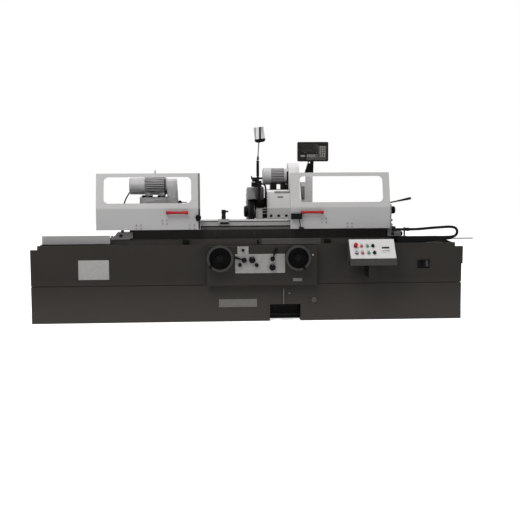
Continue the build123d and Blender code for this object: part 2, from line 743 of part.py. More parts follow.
def table_cylinder():
    span = (CYLINDER_CENTRE - CYLINDER_HALF, CYLINDER_CENTRE + CYLINDER_HALF)
    bore = CYLINDER_RADIUS - CYLINDER_WALL
    cylinder = rod_x(span, CYLINDER_Y, CYLINDER_Z, CYLINDER_RADIUS)
    for start in (span[0], span[1] - CYLINDER_FLANGE_WIDTH):
        cylinder += block((start, start + CYLINDER_FLANGE_WIDTH),
                          (CYLINDER_Y - CYLINDER_FLANGE, CYLINDER_Y + CYLINDER_FLANGE),
                          (TROUGH_FLOOR, CYLINDER_Z + CYLINDER_RADIUS))
    cylinder -= rod_x((span[0] + CYLINDER_FLANGE_WIDTH, span[1] - CYLINDER_FLANGE_WIDTH),
                      CYLINDER_Y, CYLINDER_Z, bore)
    cylinder -= rod_x(span, CYLINDER_Y, CYLINDER_Z, ROD_RADIUS + RUN_GAP)
    return cylinder


def table_piston_rod():
    span = (LOWER_LEFT + ROD_LUG_INSET + ROD_LUG_WIDTH, LOWER_RIGHT - ROD_LUG_INSET - ROD_LUG_WIDTH)
    piston = CYLINDER_RADIUS - CYLINDER_WALL - RUN_GAP
    rod = rod_x(span, CYLINDER_Y, CYLINDER_Z, ROD_RADIUS)
    rod += rod_x((TABLE_CENTRE - PISTON_HALF, TABLE_CENTRE + PISTON_HALF), CYLINDER_Y, CYLINDER_Z, piston)
    return rod


def lower_table():
    table = block((LOWER_LEFT, LOWER_RIGHT), (LOWER_TABLE_FRONT, LOWER_TABLE_BACK), (LOWER_BOTTOM, LOWER_TOP))
    table -= prism_x(vee_outline(SLIDE_GAP, GUTTER_FLOOR - VEE_ROOT), (LOWER_LEFT, LOWER_RIGHT))
    table -= rod_z((LOWER_TOP - PIVOT_HEIGHT - FREE_GAP, LOWER_TOP), TABLE_CENTRE, 0, PIVOT_RADIUS + RUN_GAP)
    # Rail for the trip dogs
    half_rail = DOG_RAIL_LENGTH / 2
    table += block((TABLE_CENTRE - half_rail, TABLE_CENTRE + half_rail),
                   (LOWER_TABLE_FRONT - DOG_RAIL_DEPTH, LOWER_TABLE_FRONT),
                   (DOG_RAIL_LOW, DOG_RAIL_LOW + DOG_RAIL_HEIGHT))
    # Lugs that the piston rod pulls on
    for start in (LOWER_LEFT + ROD_LUG_INSET, LOWER_RIGHT - ROD_LUG_INSET - ROD_LUG_WIDTH):
        table += block((start, start + ROD_LUG_WIDTH),
                       (CYLINDER_Y - 2 * ROD_RADIUS, CYLINDER_Y + 2 * ROD_RADIUS),
                       (CYLINDER_Z - 2 * ROD_RADIUS, LOWER_TOP - LOWER_TABLE_THICKNESS / 2))
    return Compound(children=[table, hose_bracket()])


def hose_bracket():
    """Bolted to the table's right end: an arm with its lug, and the pipe and block that the hose feeds."""
    lug = (LOWER_RIGHT + HOSE_LUG_X - HOSE_LUG_THICKNESS, LOWER_RIGHT + HOSE_LUG_X)
    arm_y = (LOWER_TABLE_FRONT - HOSE_ARM_DEPTH, LOWER_TABLE_FRONT)
    arm_low = DOG_RAIL_LOW + DOG_RAIL_HEIGHT
    bracket = block((LOWER_RIGHT - HOSE_LUG_X, lug[1]), arm_y, (arm_low, LOWER_TOP))
    bracket += block(lug, arm_y, (arm_low, HOSE_LUG_TOP))
    bracket += block(lug, (LOOP_Y - HOSE_LUG_REACH, arm_y[1]), (HOSE_LUG_LOW, HOSE_LUG_TOP))
    junction = (LOWER_RIGHT - JUNCTION_INSET, LOWER_RIGHT - JUNCTION_INSET + JUNCTION_WIDTH)
    bracket += rod_x((junction[1], lug[0]), LOOP_Y, LOOP_START_Z, LOOP_RADIUS)
    return bracket + block(junction, JUNCTION_Y, JUNCTION_Z)


def sloped_sheet(front, back, top):
    drop = (back - front) * tan(radians(COVER_SLOPE))
    return [(front, top), (back, top - drop), (back, top - drop - COVER_SHEET), (front, top - COVER_SHEET)]


def left_cover():
    span = (LOWER_LEFT - LEFT_COVER_LENGTH, LOWER_LEFT)
    low = RIM_TOP + COVER_CLEAR
    cover = prism_x(sloped_sheet(LEFT_COVER_FRONT, LEFT_COVER_BACK, LEFT_COVER_TOP), span)
    cover += block(span, (LEFT_COVER_FRONT, LEFT_COVER_FRONT + COVER_SHEET),
                   (low, LEFT_COVER_TOP - COVER_SHEET))
    cover += block((LOWER_LEFT - COVER_SHEET, LOWER_LEFT), (LEFT_COVER_FRONT, LEFT_COVER_BACK),
                   (low, LEFT_COVER_TOP - COVER_FLANGE - COVER_SHEET))
    return cover


def right_cover():
    span = (LOWER_RIGHT, LOWER_RIGHT + RIGHT_COVER_LENGTH)
    outline = sloped_sheet(RIGHT_COVER_FRONT, RIGHT_COVER_BACK, RIGHT_COVER_TOP)
    cover = prism_x(outline, span)
    cover += block(span, (RIGHT_COVER_FRONT, RIGHT_COVER_FRONT + COVER_SHEET),
                   (RIGHT_COVER_TOP - COVER_LIP, RIGHT_COVER_TOP - COVER_SHEET))
    cover += prism_x(sloped_sheet(RIGHT_COVER_FRONT, RIGHT_COVER_BACK, RIGHT_COVER_TOP - COVER_SHEET)[:2]
                     + [(RIGHT_COVER_BACK, RIM_TOP + COVER_CLEAR), (RIGHT_COVER_FRONT, RIM_TOP + COVER_CLEAR)],
                     (LOWER_RIGHT, LOWER_RIGHT + COVER_SHEET))
    return cover


def way_covers():
    return Compound(children=[left_cover(), right_cover()])


def trip_dog(x):
    front = LOWER_TABLE_FRONT - DOG_RAIL_DEPTH
    low = DOG_RAIL_LOW - DOG_JAW
    dog = block((x - DOG_WIDTH / 2, x + DOG_WIDTH / 2), (front - DOG_DEPTH, LOWER_TABLE_FRONT - FREE_GAP),
                (low, low + DOG_HEIGHT))
    dog -= block((x - DOG_WIDTH, x + DOG_WIDTH), (front - SLIDE_GAP, LOWER_TABLE_FRONT),
                 (DOG_RAIL_LOW - SLIDE_GAP, DOG_RAIL_LOW + DOG_RAIL_HEIGHT + SLIDE_GAP))
    return dog


def upper_table():
    plate_x = (RAIL_X[0], UPPER_RIGHT)
    table = block(plate_x, (UPPER_FRONT, UPPER_BACK), (UPPER_BOTTOM, UPPER_FACE))
    table += block(RAIL_X, (UPPER_FRONT, RAIL_BACK), (UPPER_FACE, LIP_TOP))
    table += rod_z((LOWER_TOP - PIVOT_HEIGHT, UPPER_BOTTOM), TABLE_CENTRE, 0, PIVOT_RADIUS)
    bracket_z = (UPPER_BOTTOM + BRACKET_RISE, UPPER_BOTTOM + BRACKET_RISE + BRACKET_HEIGHT)
    right_x = (UPPER_RIGHT - BRACKET_WIDTH, UPPER_RIGHT)
    table += block(right_x, (UPPER_FRONT - BRACKET_DEPTH, UPPER_FRONT), bracket_z)
    foot_x = UPPER_LEFT - BRACKET_FOOT
    root_x = RAIL_X[0] + BRACKET_DEPTH
    side = [(foot_x, bracket_z[0]), (root_x, bracket_z[0]), (root_x, bracket_z[1]),
            (foot_x + BRACKET_LEAN, bracket_z[1])]
    front = Plane.XZ.offset(BRACKET_DEPTH - UPPER_FRONT) * make_face(Polyline(*side, close=True))
    table += extrude(front, -BRACKET_DEPTH - BRACKET_LAP)
    knob_x = UPPER_LEFT + BRACKET_WIDTH / 2
    table += rod_z((bracket_z[1], bracket_z[1] + SWIVEL_KNOB_LENGTH), knob_x, UPPER_FRONT - BRACKET_DEPTH / 2,
                   SWIVEL_KNOB_RADIUS)
    return table


def door_rail():
    rail = block(RAIL_X, (UPPER_FRONT, RAIL_BACK), (LIP_TOP, RAIL_TOP))
    for rise, width in RAIL_GROOVES:
        low = LIP_TOP + rise
        rail -= block(RAIL_X, (UPPER_FRONT, UPPER_FRONT + RAIL_GROOVE), (low, low + width))
    return rail


def door_outline(near, far):
    """A layer of the folded door sheet, between two depths behind its outer face."""
    lean_length = hypot(DOOR_LEAN, DOOR_TOP - DOOR_CREASE)
    along = (DOOR_LEAN / lean_length, (DOOR_TOP - DOOR_CREASE) / lean_length)
    inward = (along[1], -along[0])

    def layer(depth):
        shift = depth * (1 - inward[0]) / along[0]
        crease = DOOR_CREASE + depth * inward[1] + shift * along[1]
        top = (DOOR_FRONT + DOOR_LEAN + depth * inward[0], DOOR_TOP + depth * inward[1])
        return [(DOOR_FRONT + depth, DOOR_LOW), (DOOR_FRONT + depth, crease), top]

    return layer(near) + layer(far)[::-1]


def door(span, frame, first_inset):
    sheet = prism_x(door_outline(0, DOOR_SHEET), span)
    clear = (span[0] + frame[0], span[1] - frame[1])
    window = RectangleRounded(clear[1] - clear[0], WINDOW_HIGH - WINDOW_LOW, WINDOW_CORNER)
    place = Plane.XZ.offset(-RAIL_BACK) * Pos(middle(clear), (WINDOW_LOW + WINDOW_HIGH) / 2)
    sheet -= extrude(place * window, RAIL_BACK - DOOR_FRONT)
    for start in (span[0], span[1] - DOOR_SHEET):
        sheet += prism_x(door_outline(0, DOOR_FLANGE), (start, start + DOOR_SHEET))
    low = RAIL_TOP + SLIDE_GAP
    for start in (span[0] + first_inset, span[1] - RUNNER_INSET - RUNNER_LENGTH):
        sheet += block((start, start + RUNNER_LENGTH), (DOOR_FRONT, RAIL_BACK), (low, low + RUNNER_THICKNESS))
    return sheet


def window_pane(span, frame):
    """A clear pane that laps the window's edge behind the door sheet."""
    outline = door_outline(DOOR_SHEET, DOOR_SHEET + PANE_THICKNESS)
    sheet = prism_x(outline, (span[0] + frame[0] - PANE_LAP, span[1] - frame[1] + PANE_LAP))
    keep = block(span, (DOOR_FRONT, RAIL_BACK), (WINDOW_LOW - PANE_LAP, WINDOW_HIGH + PANE_LAP))
    return sheet & keep


def workhead_body():
    span = (HEAD_LEFT, HEAD_RIGHT)
    foot_top = UPPER_FACE + HEAD_FOOT_HEIGHT
    head = block(span, (HEAD_FOOT_FRONT, HEAD_FOOT_BACK), (UPPER_FACE, foot_top))
    head += block(span, (HEAD_FRONT, HEAD_BACK), (foot_top, HEAD_TOP))
    head += block((HEAD_LEFT + HEAD_SADDLE_INSET, HEAD_RIGHT), (-MOTOR_FOOT_HALF, MOTOR_FOOT_HALF),
                  (HEAD_TOP, HEAD_TOP + HEAD_SADDLE_HEIGHT))
    head -= rod_x(span, 0, WORK_Z, WORK_SPINDLE_RADIUS + RUN_GAP)
    # Belt cover on the right end, a closed box with holes for the two shafts
    cover_x = (HEAD_RIGHT, HEAD_RIGHT + HEAD_COVER_WIDTH)
    lean_right = cover_x[1] - HEAD_COVER_LEAN
    side = [(cover_x[0], HEAD_COVER_FLOOR), (cover_x[1], HEAD_COVER_FLOOR), (cover_x[1], HEAD_TOP),
            (lean_right, HEAD_COVER_TOP), (cover_x[0], HEAD_COVER_TOP)]
    side_face = Plane.XZ.offset(-HEAD_COVER_HALF) * make_face(Polyline(*side, close=True))
    outer = extrude(side_face, 2 * HEAD_COVER_HALF)
    outer = fillet(outer.edges().filter_by(Axis.X).group_by(Axis.Z)[-1], HEAD_COVER_ROUND)
    inside = HEAD_COVER_HALF - HEAD_COVER_WALL
    outer -= block((cover_x[0] + HEAD_COVER_WALL, lean_right - HEAD_COVER_WALL), (-inside, inside),
                   (HEAD_COVER_FLOOR + HEAD_COVER_WALL, HEAD_COVER_TOP - HEAD_COVER_ROUND))
    outer -= rod_x(cover_x, 0, WORK_Z, WORK_SPINDLE_RADIUS + FREE_GAP)
    outer -= rod_x((cover_x[0], cover_x[0] + HEAD_COVER_WALL), 0, MOTOR_Z, ROTOR_RADIUS + FREE_GAP)
    return head + outer


def workhead_motor():
    left = HEAD_RIGHT - MOTOR_BODY_LENGTH
    body = motor(left, HEAD_RIGHT, 0, MOTOR_Z, MOTOR_RADIUS - MOTOR_FIN, left - MOTOR_FAN_LENGTH,
                 MOTOR_RADIUS - MOTOR_FIN / 2, MOTOR_FIN, MOTOR_END_BELL, HEAD_TOP + HEAD_SADDLE_HEIGHT,
                 MOTOR_FOOT_HALF)
    body -= rod_x((HEAD_RIGHT - ROTOR_DEPTH, HEAD_RIGHT), 0, MOTOR_Z, ROTOR_RADIUS + RUN_GAP)
    # Lifting eye
    eye_x = left + MOTOR_BODY_LENGTH / 2
    stem_top = MOTOR_Z + MOTOR_RADIUS + EYE_STEM
    eye = rod_z((MOTOR_Z + MOTOR_RADIUS - MOTOR_FIN, stem_top), eye_x, 0, EYE_WIRE)
    eye += Pos(eye_x, 0, stem_top + EYE_RADIUS) * Rot(0, 90, 0) * Torus(EYE_RADIUS, EYE_WIRE)
    return body + eye


def work_spindle():
    cover_x = (HEAD_RIGHT, HEAD_RIGHT + HEAD_COVER_WIDTH)
    plate = cover_x[1] + WORK_NOSE_LENGTH
    spindle = rod_x((HEAD_LEFT - WORK_NOSE_LENGTH, plate), 0, WORK_Z, WORK_SPINDLE_RADIUS)
    pulley_left = middle(cover_x) - PULLEY_WIDTH / 2
    spindle += rod_x((pulley_left, pulley_left + PULLEY_WIDTH), 0, WORK_Z, WORK_PULLEY_RADIUS)
    disc = rod_x((plate, plate + FACE_PLATE_WIDTH), 0, WORK_Z, FACE_PLATE_RADIUS)
    for index in range(FACE_PLATE_HOLES):
        turn = radians(360 / FACE_PLATE_HOLES * index)
        disc -= rod_x((plate, plate + FACE_PLATE_WIDTH), FACE_PLATE_PCD / 2 * cos(turn),
                      WORK_Z + FACE_PLATE_PCD / 2 * sin(turn), FACE_PLATE_HOLE)
    tip = Pos(plate + FACE_PLATE_WIDTH + CENTRE_LENGTH / 2, 0, WORK_Z) * Rot(0, 90, 0)
    tip = tip * Cone(CENTRE_RADIUS, CENTRE_FLAT, CENTRE_LENGTH)
    return spindle + disc + tip


def work_rotor():
    pulley_left = HEAD_RIGHT + (HEAD_COVER_WIDTH - PULLEY_WIDTH) / 2
    rotor = rod_x((HEAD_RIGHT - ROTOR_DEPTH + FREE_GAP, pulley_left), 0, MOTOR_Z, ROTOR_RADIUS)
    return rotor + rod_x((pulley_left, pulley_left + PULLEY_WIDTH), 0, MOTOR_Z, MOTOR_PULLEY_RADIUS)


def tailstock_body():
    span = (TAIL_LEFT, TAIL_RIGHT)
    foot_top = UPPER_FACE + TAIL_FOOT_HEIGHT
    body = block(span, (HEAD_FOOT_FRONT, HEAD_FOOT_BACK), (UPPER_FACE, foot_top))
    body += block(span, (-TAIL_BARREL, HEAD_FOOT_BACK), (foot_top, WORK_Z))
    body += rod_x(span, 0, WORK_Z, TAIL_BARREL)
    body += block((TAIL_RIGHT - TAIL_BLOCK, TAIL_RIGHT), (TAIL_FRONT, TAIL_BACK),
                  (foot_top, TAIL_BLOCK_TOP))
    body += rod_y((TAIL_FRONT, TAIL_FRONT + BOSS_DEPTH), LEVER_X, LEVER_Z, LEVER_BOSS)
    quill_end = TAIL_LEFT - QUILL_OUT + QUILL_LENGTH
    body -= rod_x((TAIL_LEFT, quill_end + QUILL_TRAVEL + FREE_GAP), 0, WORK_Z, QUILL_RADIUS + RUN_GAP)
    body -= rod_y((TAIL_FRONT, TAIL_FRONT + LEVER_PIN_DEPTH), LEVER_X, LEVER_Z, LEVER_PIN + RUN_GAP)
    return body


def tailstock_quill():
    start = TAIL_LEFT - QUILL_OUT
    quill = rod_x((start, start + QUILL_LENGTH), 0, WORK_Z, QUILL_RADIUS)
    tip = Pos(start - CENTRE_LENGTH / 2, 0, WORK_Z) * Rot(0, -90, 0)
    return quill + tip * Cone(CENTRE_RADIUS, CENTRE_FLAT, CENTRE_LENGTH)


def quill_lever():
    face = TAIL_FRONT - FREE_GAP
    lever = rod_y((face - LEVER_STAND, face), LEVER_X, LEVER_Z, LEVER_BOSS)
    lever += rod_y((face, TAIL_FRONT + LEVER_PIN_DEPTH - FREE_GAP), LEVER_X, LEVER_Z, LEVER_PIN)
    arm_y = face - LEVER_STAND / 2
    arm = Vector(LEVER_REACH_X, 0, LEVER_REACH_Z)
    root = Vector(LEVER_X, arm_y, LEVER_Z)
    lever += Plane(origin=root, z_dir=arm) * up_from(0, LEVER_ROD, arm.length)
    grip = Plane(origin=root + arm * LEVER_GRIP_START, z_dir=arm)
    lever += grip * Cone(LEVER_ROD, LEVER_BALL, arm.length * (1 - LEVER_GRIP_START),
                         align=(Align.CENTER, Align.CENTER, Align.MIN))
    return lever + Plane(origin=root + arm, z_dir=arm) * Sphere(LEVER_BALL)


def wheel_slide():
    slide = block((SLIDE_LEFT, SLIDE_RIGHT), (SLIDE_FRONT, SLIDE_BACK), (SLIDE_BOTTOM, HOUSING_BOTTOM))
    half_nut = FEED_NUT_WIDTH / 2
    slide += block((FEED_SCREW_X - half_nut, FEED_SCREW_X + half_nut),
                   (FEED_NUT_Y, FEED_NUT_Y + FEED_NUT_LENGTH), (FEED_SCREW_Z - half_nut, HOUSING_BOTTOM))
    slide -= rod_y((FEED_NUT_Y, FEED_NUT_Y + FEED_NUT_LENGTH), FEED_SCREW_X, FEED_SCREW_Z,
                   FEED_SCREW_RADIUS + RUN_GAP)
    return slide + spindle_housing()


def spindle_housing():
    z = (HOUSING_BOTTOM, HOUSING_TOP)
    housing = block((HEADSTOCK_LEFT, HEADSTOCK_RIGHT), (HEADSTOCK_FRONT, HEADSTOCK_BACK), z)
    nose = (GUARD_RIGHT + GUARD_RING, HEADSTOCK_LEFT - NOSE_SLOT)
    housing += block(nose, (NOSE_FRONT, NOSE_BACK), z)
    housing += block((nose[1], HEADSTOCK_LEFT), (NOSE_FRONT + NOSE_SLOT, NOSE_BACK), z)
    housing -= rod_x((nose[0], HEADSTOCK_RIGHT), WHEEL_Y, WORK_Z, SPINDLE_RADIUS + RUN_GAP)
    step = (HEADSTOCK_RIGHT - HEADSTOCK_LEFT) / BOLT_RECESSES
    for index in range(BOLT_RECESSES):
        x = HEADSTOCK_LEFT + step * (index + 0.5)
        housing -= rod_y((HEADSTOCK_FRONT, HEADSTOCK_FRONT + BOLT_RECESS_DEPTH), x,
                         HOUSING_BOTTOM + BOLT_RECESS_RISE, BOLT_RECESS_RADIUS)
    # Collar that the coolant hose ends on
    housing += rod_z((HOUSING_TOP, HOUSING_TOP + HOSE_COLLAR), COOLANT_ROUTE[-1][0], COOLANT_ROUTE[-1][1],
                     HOSE_RADIUS + HOSE_COLLAR / 2)
    return housing


def wheelhead_cover():
    cover = block((HEADSTOCK_LEFT, HEADSTOCK_RIGHT), (HEADSTOCK_FRONT, HEADSTOCK_BACK),
                  (HOUSING_TOP, COVER_TOP))
    rim = cover.edges().group_by(Axis.Z)[-1]
    return fillet(rim, COVER_ROUND)


def wheel_guard():
    inner = (WHEEL_LEFT - FLANGE_WIDTH - GUARD_SIDE_GAP, GUARD_RIGHT - GUARD_WALL)
    outer = (inner[0] - GUARD_WALL, GUARD_RIGHT)
    guard = rod_x(outer, WHEEL_Y, WORK_Z, GUARD_RADIUS)
    guard -= rod_x(inner, WHEEL_Y, WORK_Z, GUARD_RADIUS - GUARD_WALL)
    # Open at the front below its lip, and underneath
    reach = (WHEEL_Y - 2 * GUARD_RADIUS, WHEEL_Y + 2 * GUARD_RADIUS)
    guard -= block(outer, (reach[0], WHEEL_Y - SPINDLE_RADIUS * 2), (WORK_Z - 2 * GUARD_RADIUS, GUARD_LIP_Z))
    guard -= block(outer, reach, (WORK_Z - 2 * GUARD_RADIUS, GUARD_FLOOR))
    # Ring that bolts to the spindle housing
    guard += rod_x((GUARD_RIGHT, GUARD_RIGHT + GUARD_RING), WHEEL_Y, WORK_Z, 2 * SPINDLE_RADIUS)
    guard -= rod_x((inner[1], GUARD_RIGHT + GUARD_RING), WHEEL_Y, WORK_Z, SPINDLE_RADIUS + GUARD_RING)
    guard -= rod_x((outer[0], inner[0]), WHEEL_Y, WORK_Z, SPINDLE_CAP_RADIUS + GUARD_RING)
    # Box that carries the lamp post and the coolant valve
    guard += block((GUARD_RIGHT - GUARD_WALL, GUARD_BOX_RIGHT), (GUARD_BOX_FRONT, GUARD_BOX_BACK),
                   (GUARD_LIP_Z, GUARD_BOX_TOP))
    # Shroud between the guard and the upper cover
    shroud_z = (HOUSING_TOP + FREE_GAP, GUARD_LIP_Z + SHROUD_LAP)
    guard += block((GUARD_RIGHT - GUARD_WALL, SHROUD_RIGHT), SHROUD_Y, shroud_z)
    return guard


def coolant_valve():
    """Valve block with its flat nozzle pipe down the front of the guard box."""
    valve_x = (VALVE_X, VALVE_RIGHT)
    valve = block(valve_x, (VALVE_Y - VALVE_HALF, VALVE_Y + VALVE_HALF),
                  (GUARD_BOX_TOP, GUARD_BOX_TOP + VALVE_HEIGHT))
    pipe_x = middle(valve_x)
    pipe_y = GUARD_BOX_FRONT - NOZZLE_RADIUS - FREE_GAP
    pipe_z = GUARD_BOX_TOP + VALVE_HEIGHT / 2
    valve += rod_y((pipe_y, VALVE_Y), pipe_x, pipe_z, NOZZLE_RADIUS)
    valve += Pos(pipe_x, pipe_y, pipe_z) * Sphere(NOZZLE_RADIUS)
    valve += rod_z((NOZZLE_DROP, pipe_z), pipe_x, pipe_y, NOZZLE_RADIUS)
    valve += rod_z((GUARD_BOX_TOP + VALVE_HEIGHT, GUARD_BOX_TOP + VALVE_HEIGHT + VALVE_STEM), pipe_x, VALVE_Y,
                   NOZZLE_RADIUS)
    valve += block((VALVE_SIDE_LEFT, VALVE_X), (VALVE_Y - VALVE_HALF / 2, VALVE_Y + VALVE_HALF / 2),
                   (GUARD_BOX_TOP, GUARD_BOX_TOP + VALVE_SIDE_HEIGHT))
    handle_z = GUARD_BOX_TOP + VALVE_HEIGHT + VALVE_STEM / 2
    return valve + rod_x(VALVE_HANDLE, VALVE_Y, handle_z, VALVE_HANDLE_RADIUS)


def grinding_wheel():
    span = (WHEEL_LEFT, WHEEL_LEFT + WHEEL_WIDTH)
    return rod_x(span, WHEEL_Y, WORK_Z, WHEEL_RADIUS) - rod_x(span, WHEEL_Y, WORK_Z, WHEEL_BORE)


def wheel_spindle():
    right = WHEEL_LEFT + WHEEL_WIDTH
    spindle = rod_x((WHEEL_LEFT, BELT_PULLEY[1]), WHEEL_Y, WORK_Z, SPINDLE_RADIUS)
    spindle += rod_x((WHEEL_LEFT, right), WHEEL_Y, WORK_Z, WHEEL_BORE)
    for start in (WHEEL_LEFT - FLANGE_WIDTH, right):
        spindle += rod_x((start, start + FLANGE_WIDTH), WHEEL_Y, WORK_Z, FLANGE_RADIUS)
    cap = rod_x((SPINDLE_CAP_LEFT, WHEEL_LEFT), WHEEL_Y, WORK_Z, SPINDLE_CAP_RADIUS)
    cap = fillet(cap.edges().group_by(Axis.X)[0], SPINDLE_CAP_ROUND)
    spindle += cap
    return spindle + rod_x(BELT_PULLEY, WHEEL_Y, WORK_Z, SPINDLE_PULLEY_RADIUS)


def wheel_motor():
    body = motor(DRIVE_BODY_LEFT, BELT_COVER_LEFT, DRIVE_Y, DRIVE_Z, DRIVE_RADIUS, DRIVE_FAN_LEFT,
                 DRIVE_FAN_RADIUS, MOTOR_FIN, DRIVE_BELL, COVER_TOP, DRIVE_FOOT_HALF)
    bore = (BELT_COVER_LEFT - ROTOR_DEPTH, BELT_COVER_LEFT)
    return body - rod_x(bore, DRIVE_Y, DRIVE_Z, ROTOR_RADIUS + RUN_GAP)


def wheel_rotor():
    rotor = rod_x((BELT_COVER_LEFT - ROTOR_DEPTH + FREE_GAP, BELT_PULLEY[1]), DRIVE_Y, DRIVE_Z, ROTOR_RADIUS)
    return rotor + rod_x(BELT_PULLEY, DRIVE_Y, DRIVE_Z, DRIVE_PULLEY_RADIUS)


def drive_belts():
    inner_low = SPINDLE_PULLEY_RADIUS + BELT_GAP
    inner_high = DRIVE_PULLEY_RADIUS + BELT_GAP
    return (belt_loop(inner_low + BELT_THICKNESS, inner_high + BELT_THICKNESS, BELT_PULLEY)
            - belt_loop(inner_low, inner_high, BELT_PULLEY))


def belt_cover():
    span = (BELT_COVER_LEFT, BELT_COVER_RIGHT)
    inside = (span[0] + BELT_COVER_WALL, span[1] - BELT_COVER_WALL)
    cover = belt_loop(BELT_COVER_LOW_RADIUS, BELT_COVER_HIGH_RADIUS, span)
    cover -= belt_loop(BELT_COVER_LOW_RADIUS - BELT_COVER_WALL, BELT_COVER_HIGH_RADIUS - BELT_COVER_WALL,
                       inside)
    cover += rod_x((HEADSTOCK_RIGHT, span[0]), WHEEL_Y, WORK_Z, 2 * SPINDLE_RADIUS)
    cover -= rod_x((HEADSTOCK_RIGHT, inside[0]), WHEEL_Y, WORK_Z, SPINDLE_RADIUS + FREE_GAP)
    cover -= rod_x((span[0], inside[0]), DRIVE_Y, DRIVE_Z, ROTOR_RADIUS + FREE_GAP)
    return cover


def lamp_post():
    """Post with the fork and pin that the lamp's arm tilts on."""
    half = LAMP_KNUCKLE_WIDTH / 2
    fork_low = LAMP_POST_TOP - LAMP_KNUCKLE - FREE_GAP - LAMP_FORK
    post = rod_z((GUARD_BOX_TOP, fork_low), LAMP_X, LAMP_Y, LAMP_POST_RADIUS)
    post += rod_z((GUARD_BOX_TOP, GUARD_BOX_TOP + LAMP_FORK), LAMP_X, LAMP_Y, 2 * LAMP_POST_RADIUS)
    side = half + LAMP_FORK + FREE_GAP
    fork_x = (LAMP_X - LAMP_POST_RADIUS, LAMP_X + LAMP_POST_RADIUS)
    post += block(fork_x, (LAMP_Y - side, LAMP_Y + side), (fork_low, LAMP_POST_TOP + LAMP_POST_RADIUS))
    post -= block((LAMP_X - LAMP_KNUCKLE * 2, LAMP_X + LAMP_KNUCKLE * 2),
                  (LAMP_Y - half - FREE_GAP, LAMP_Y + half + FREE_GAP),
                  (fork_low + LAMP_FORK, LAMP_POST_TOP + LAMP_KNUCKLE))
    return post + rod_y((LAMP_Y - side, LAMP_Y + side), LAMP_X, LAMP_POST_TOP, LAMP_PIN)


def lamp_arm():
    half = LAMP_KNUCKLE_WIDTH / 2
    arm = rod_y((LAMP_Y - half, LAMP_Y + half), LAMP_X, LAMP_POST_TOP, LAMP_KNUCKLE)
    reach = Vector(LAMP_ELBOW[0] - LAMP_X, 0, LAMP_ELBOW[1] - LAMP_POST_TOP)
    arm += Plane(origin=(LAMP_X, LAMP_Y, LAMP_POST_TOP), z_dir=reach) * Cylinder(
        LAMP_STEM_RADIUS, reach.length, align=(Align.CENTER, Align.CENTER, Align.MIN))
    arm -= rod_y((LAMP_Y - half, LAMP_Y + half), LAMP_X, LAMP_POST_TOP, LAMP_PIN + RUN_GAP)
    arm += rod_y((LAMP_Y - LAMP_LUG, LAMP_Y + LAMP_LUG), LAMP_ELBOW[0], LAMP_ELBOW[1], LAMP_KNUCKLE / 2)
    return arm + rod_y((LAMP_Y - LAMP_LUG_REACH, LAMP_Y), LAMP_ELBOW[0], LAMP_ELBOW[1], LAMP_PIN)


def lamp_head():
    """Round shade, open underneath, on a lug that tilts on the arm's end pin."""
    back = LAMP_Y - LAMP_LUG - FREE_GAP
    lug_y = (LAMP_Y - LAMP_LUG_REACH, back)
    lug = block((LAMP_ELBOW[0] - LAMP_KNUCKLE / 2, LAMP_ELBOW[0] + LAMP_KNUCKLE / 2), lug_y,
                (LAMP_ELBOW[1] - LAMP_KNUCKLE / 2, LAMP_ELBOW[1] + LAMP_HEAD_LENGTH / 2))
    lug -= rod_y((lug_y[0], back), LAMP_ELBOW[0], LAMP_ELBOW[1], LAMP_PIN + RUN_GAP)
    head_y = lug_y[0] - LAMP_HEAD_RADIUS + LAMP_WALL
    base = (LAMP_ELBOW[0] + LAMP_HEAD_OFFSET, head_y, LAMP_ELBOW[1] + LAMP_HEAD_RISE)
    shade = Cylinder(LAMP_HEAD_RADIUS, LAMP_HEAD_LENGTH, align=(Align.CENTER, Align.CENTER, Align.MIN))
    shade -= Cylinder(LAMP_HEAD_RADIUS - LAMP_WALL, LAMP_HEAD_LENGTH - LAMP_CAP,
                      align=(Align.CENTER, Align.CENTER, Align.MIN))
    return Pos(*base) * Rot(0, -LAMP_HEAD_TILT, 0) * shade + lug


def readout_column():
    column = block(READOUT_COLUMN_X, READOUT_COLUMN_Y, (REAR_TOP, READOUT_COLUMN_TOP))
    wall = READOUT_COLUMN_WALL
    pedestal_x = (READOUT_PEDESTAL_LEFT, READOUT_COLUMN_X[0])
    pedestal = block(pedestal_x, READOUT_COLUMN_Y, (REAR_TOP, READOUT_PEDESTAL_TOP))
    pedestal -= block((pedestal_x[0] + wall, pedestal_x[1] - wall),
                      (READOUT_COLUMN_Y[0] + wall, READOUT_COLUMN_Y[1] - wall),
                      (REAR_TOP, READOUT_PEDESTAL_TOP - wall))
    column -= block((READOUT_COLUMN_X[0] + wall, READOUT_COLUMN_X[1] - wall),
                    (READOUT_COLUMN_Y[0] + wall, READOUT_COLUMN_Y[1] - wall),
                    (REAR_TOP, READOUT_COLUMN_TOP - wall))
    column -= rod_z((READOUT_COLUMN_TOP - wall, READOUT_COLUMN_TOP), READOUT_PIVOT_X, middle(READOUT_COLUMN_Y),
                    READOUT_PIN + RUN_GAP)
    return column + pedestal


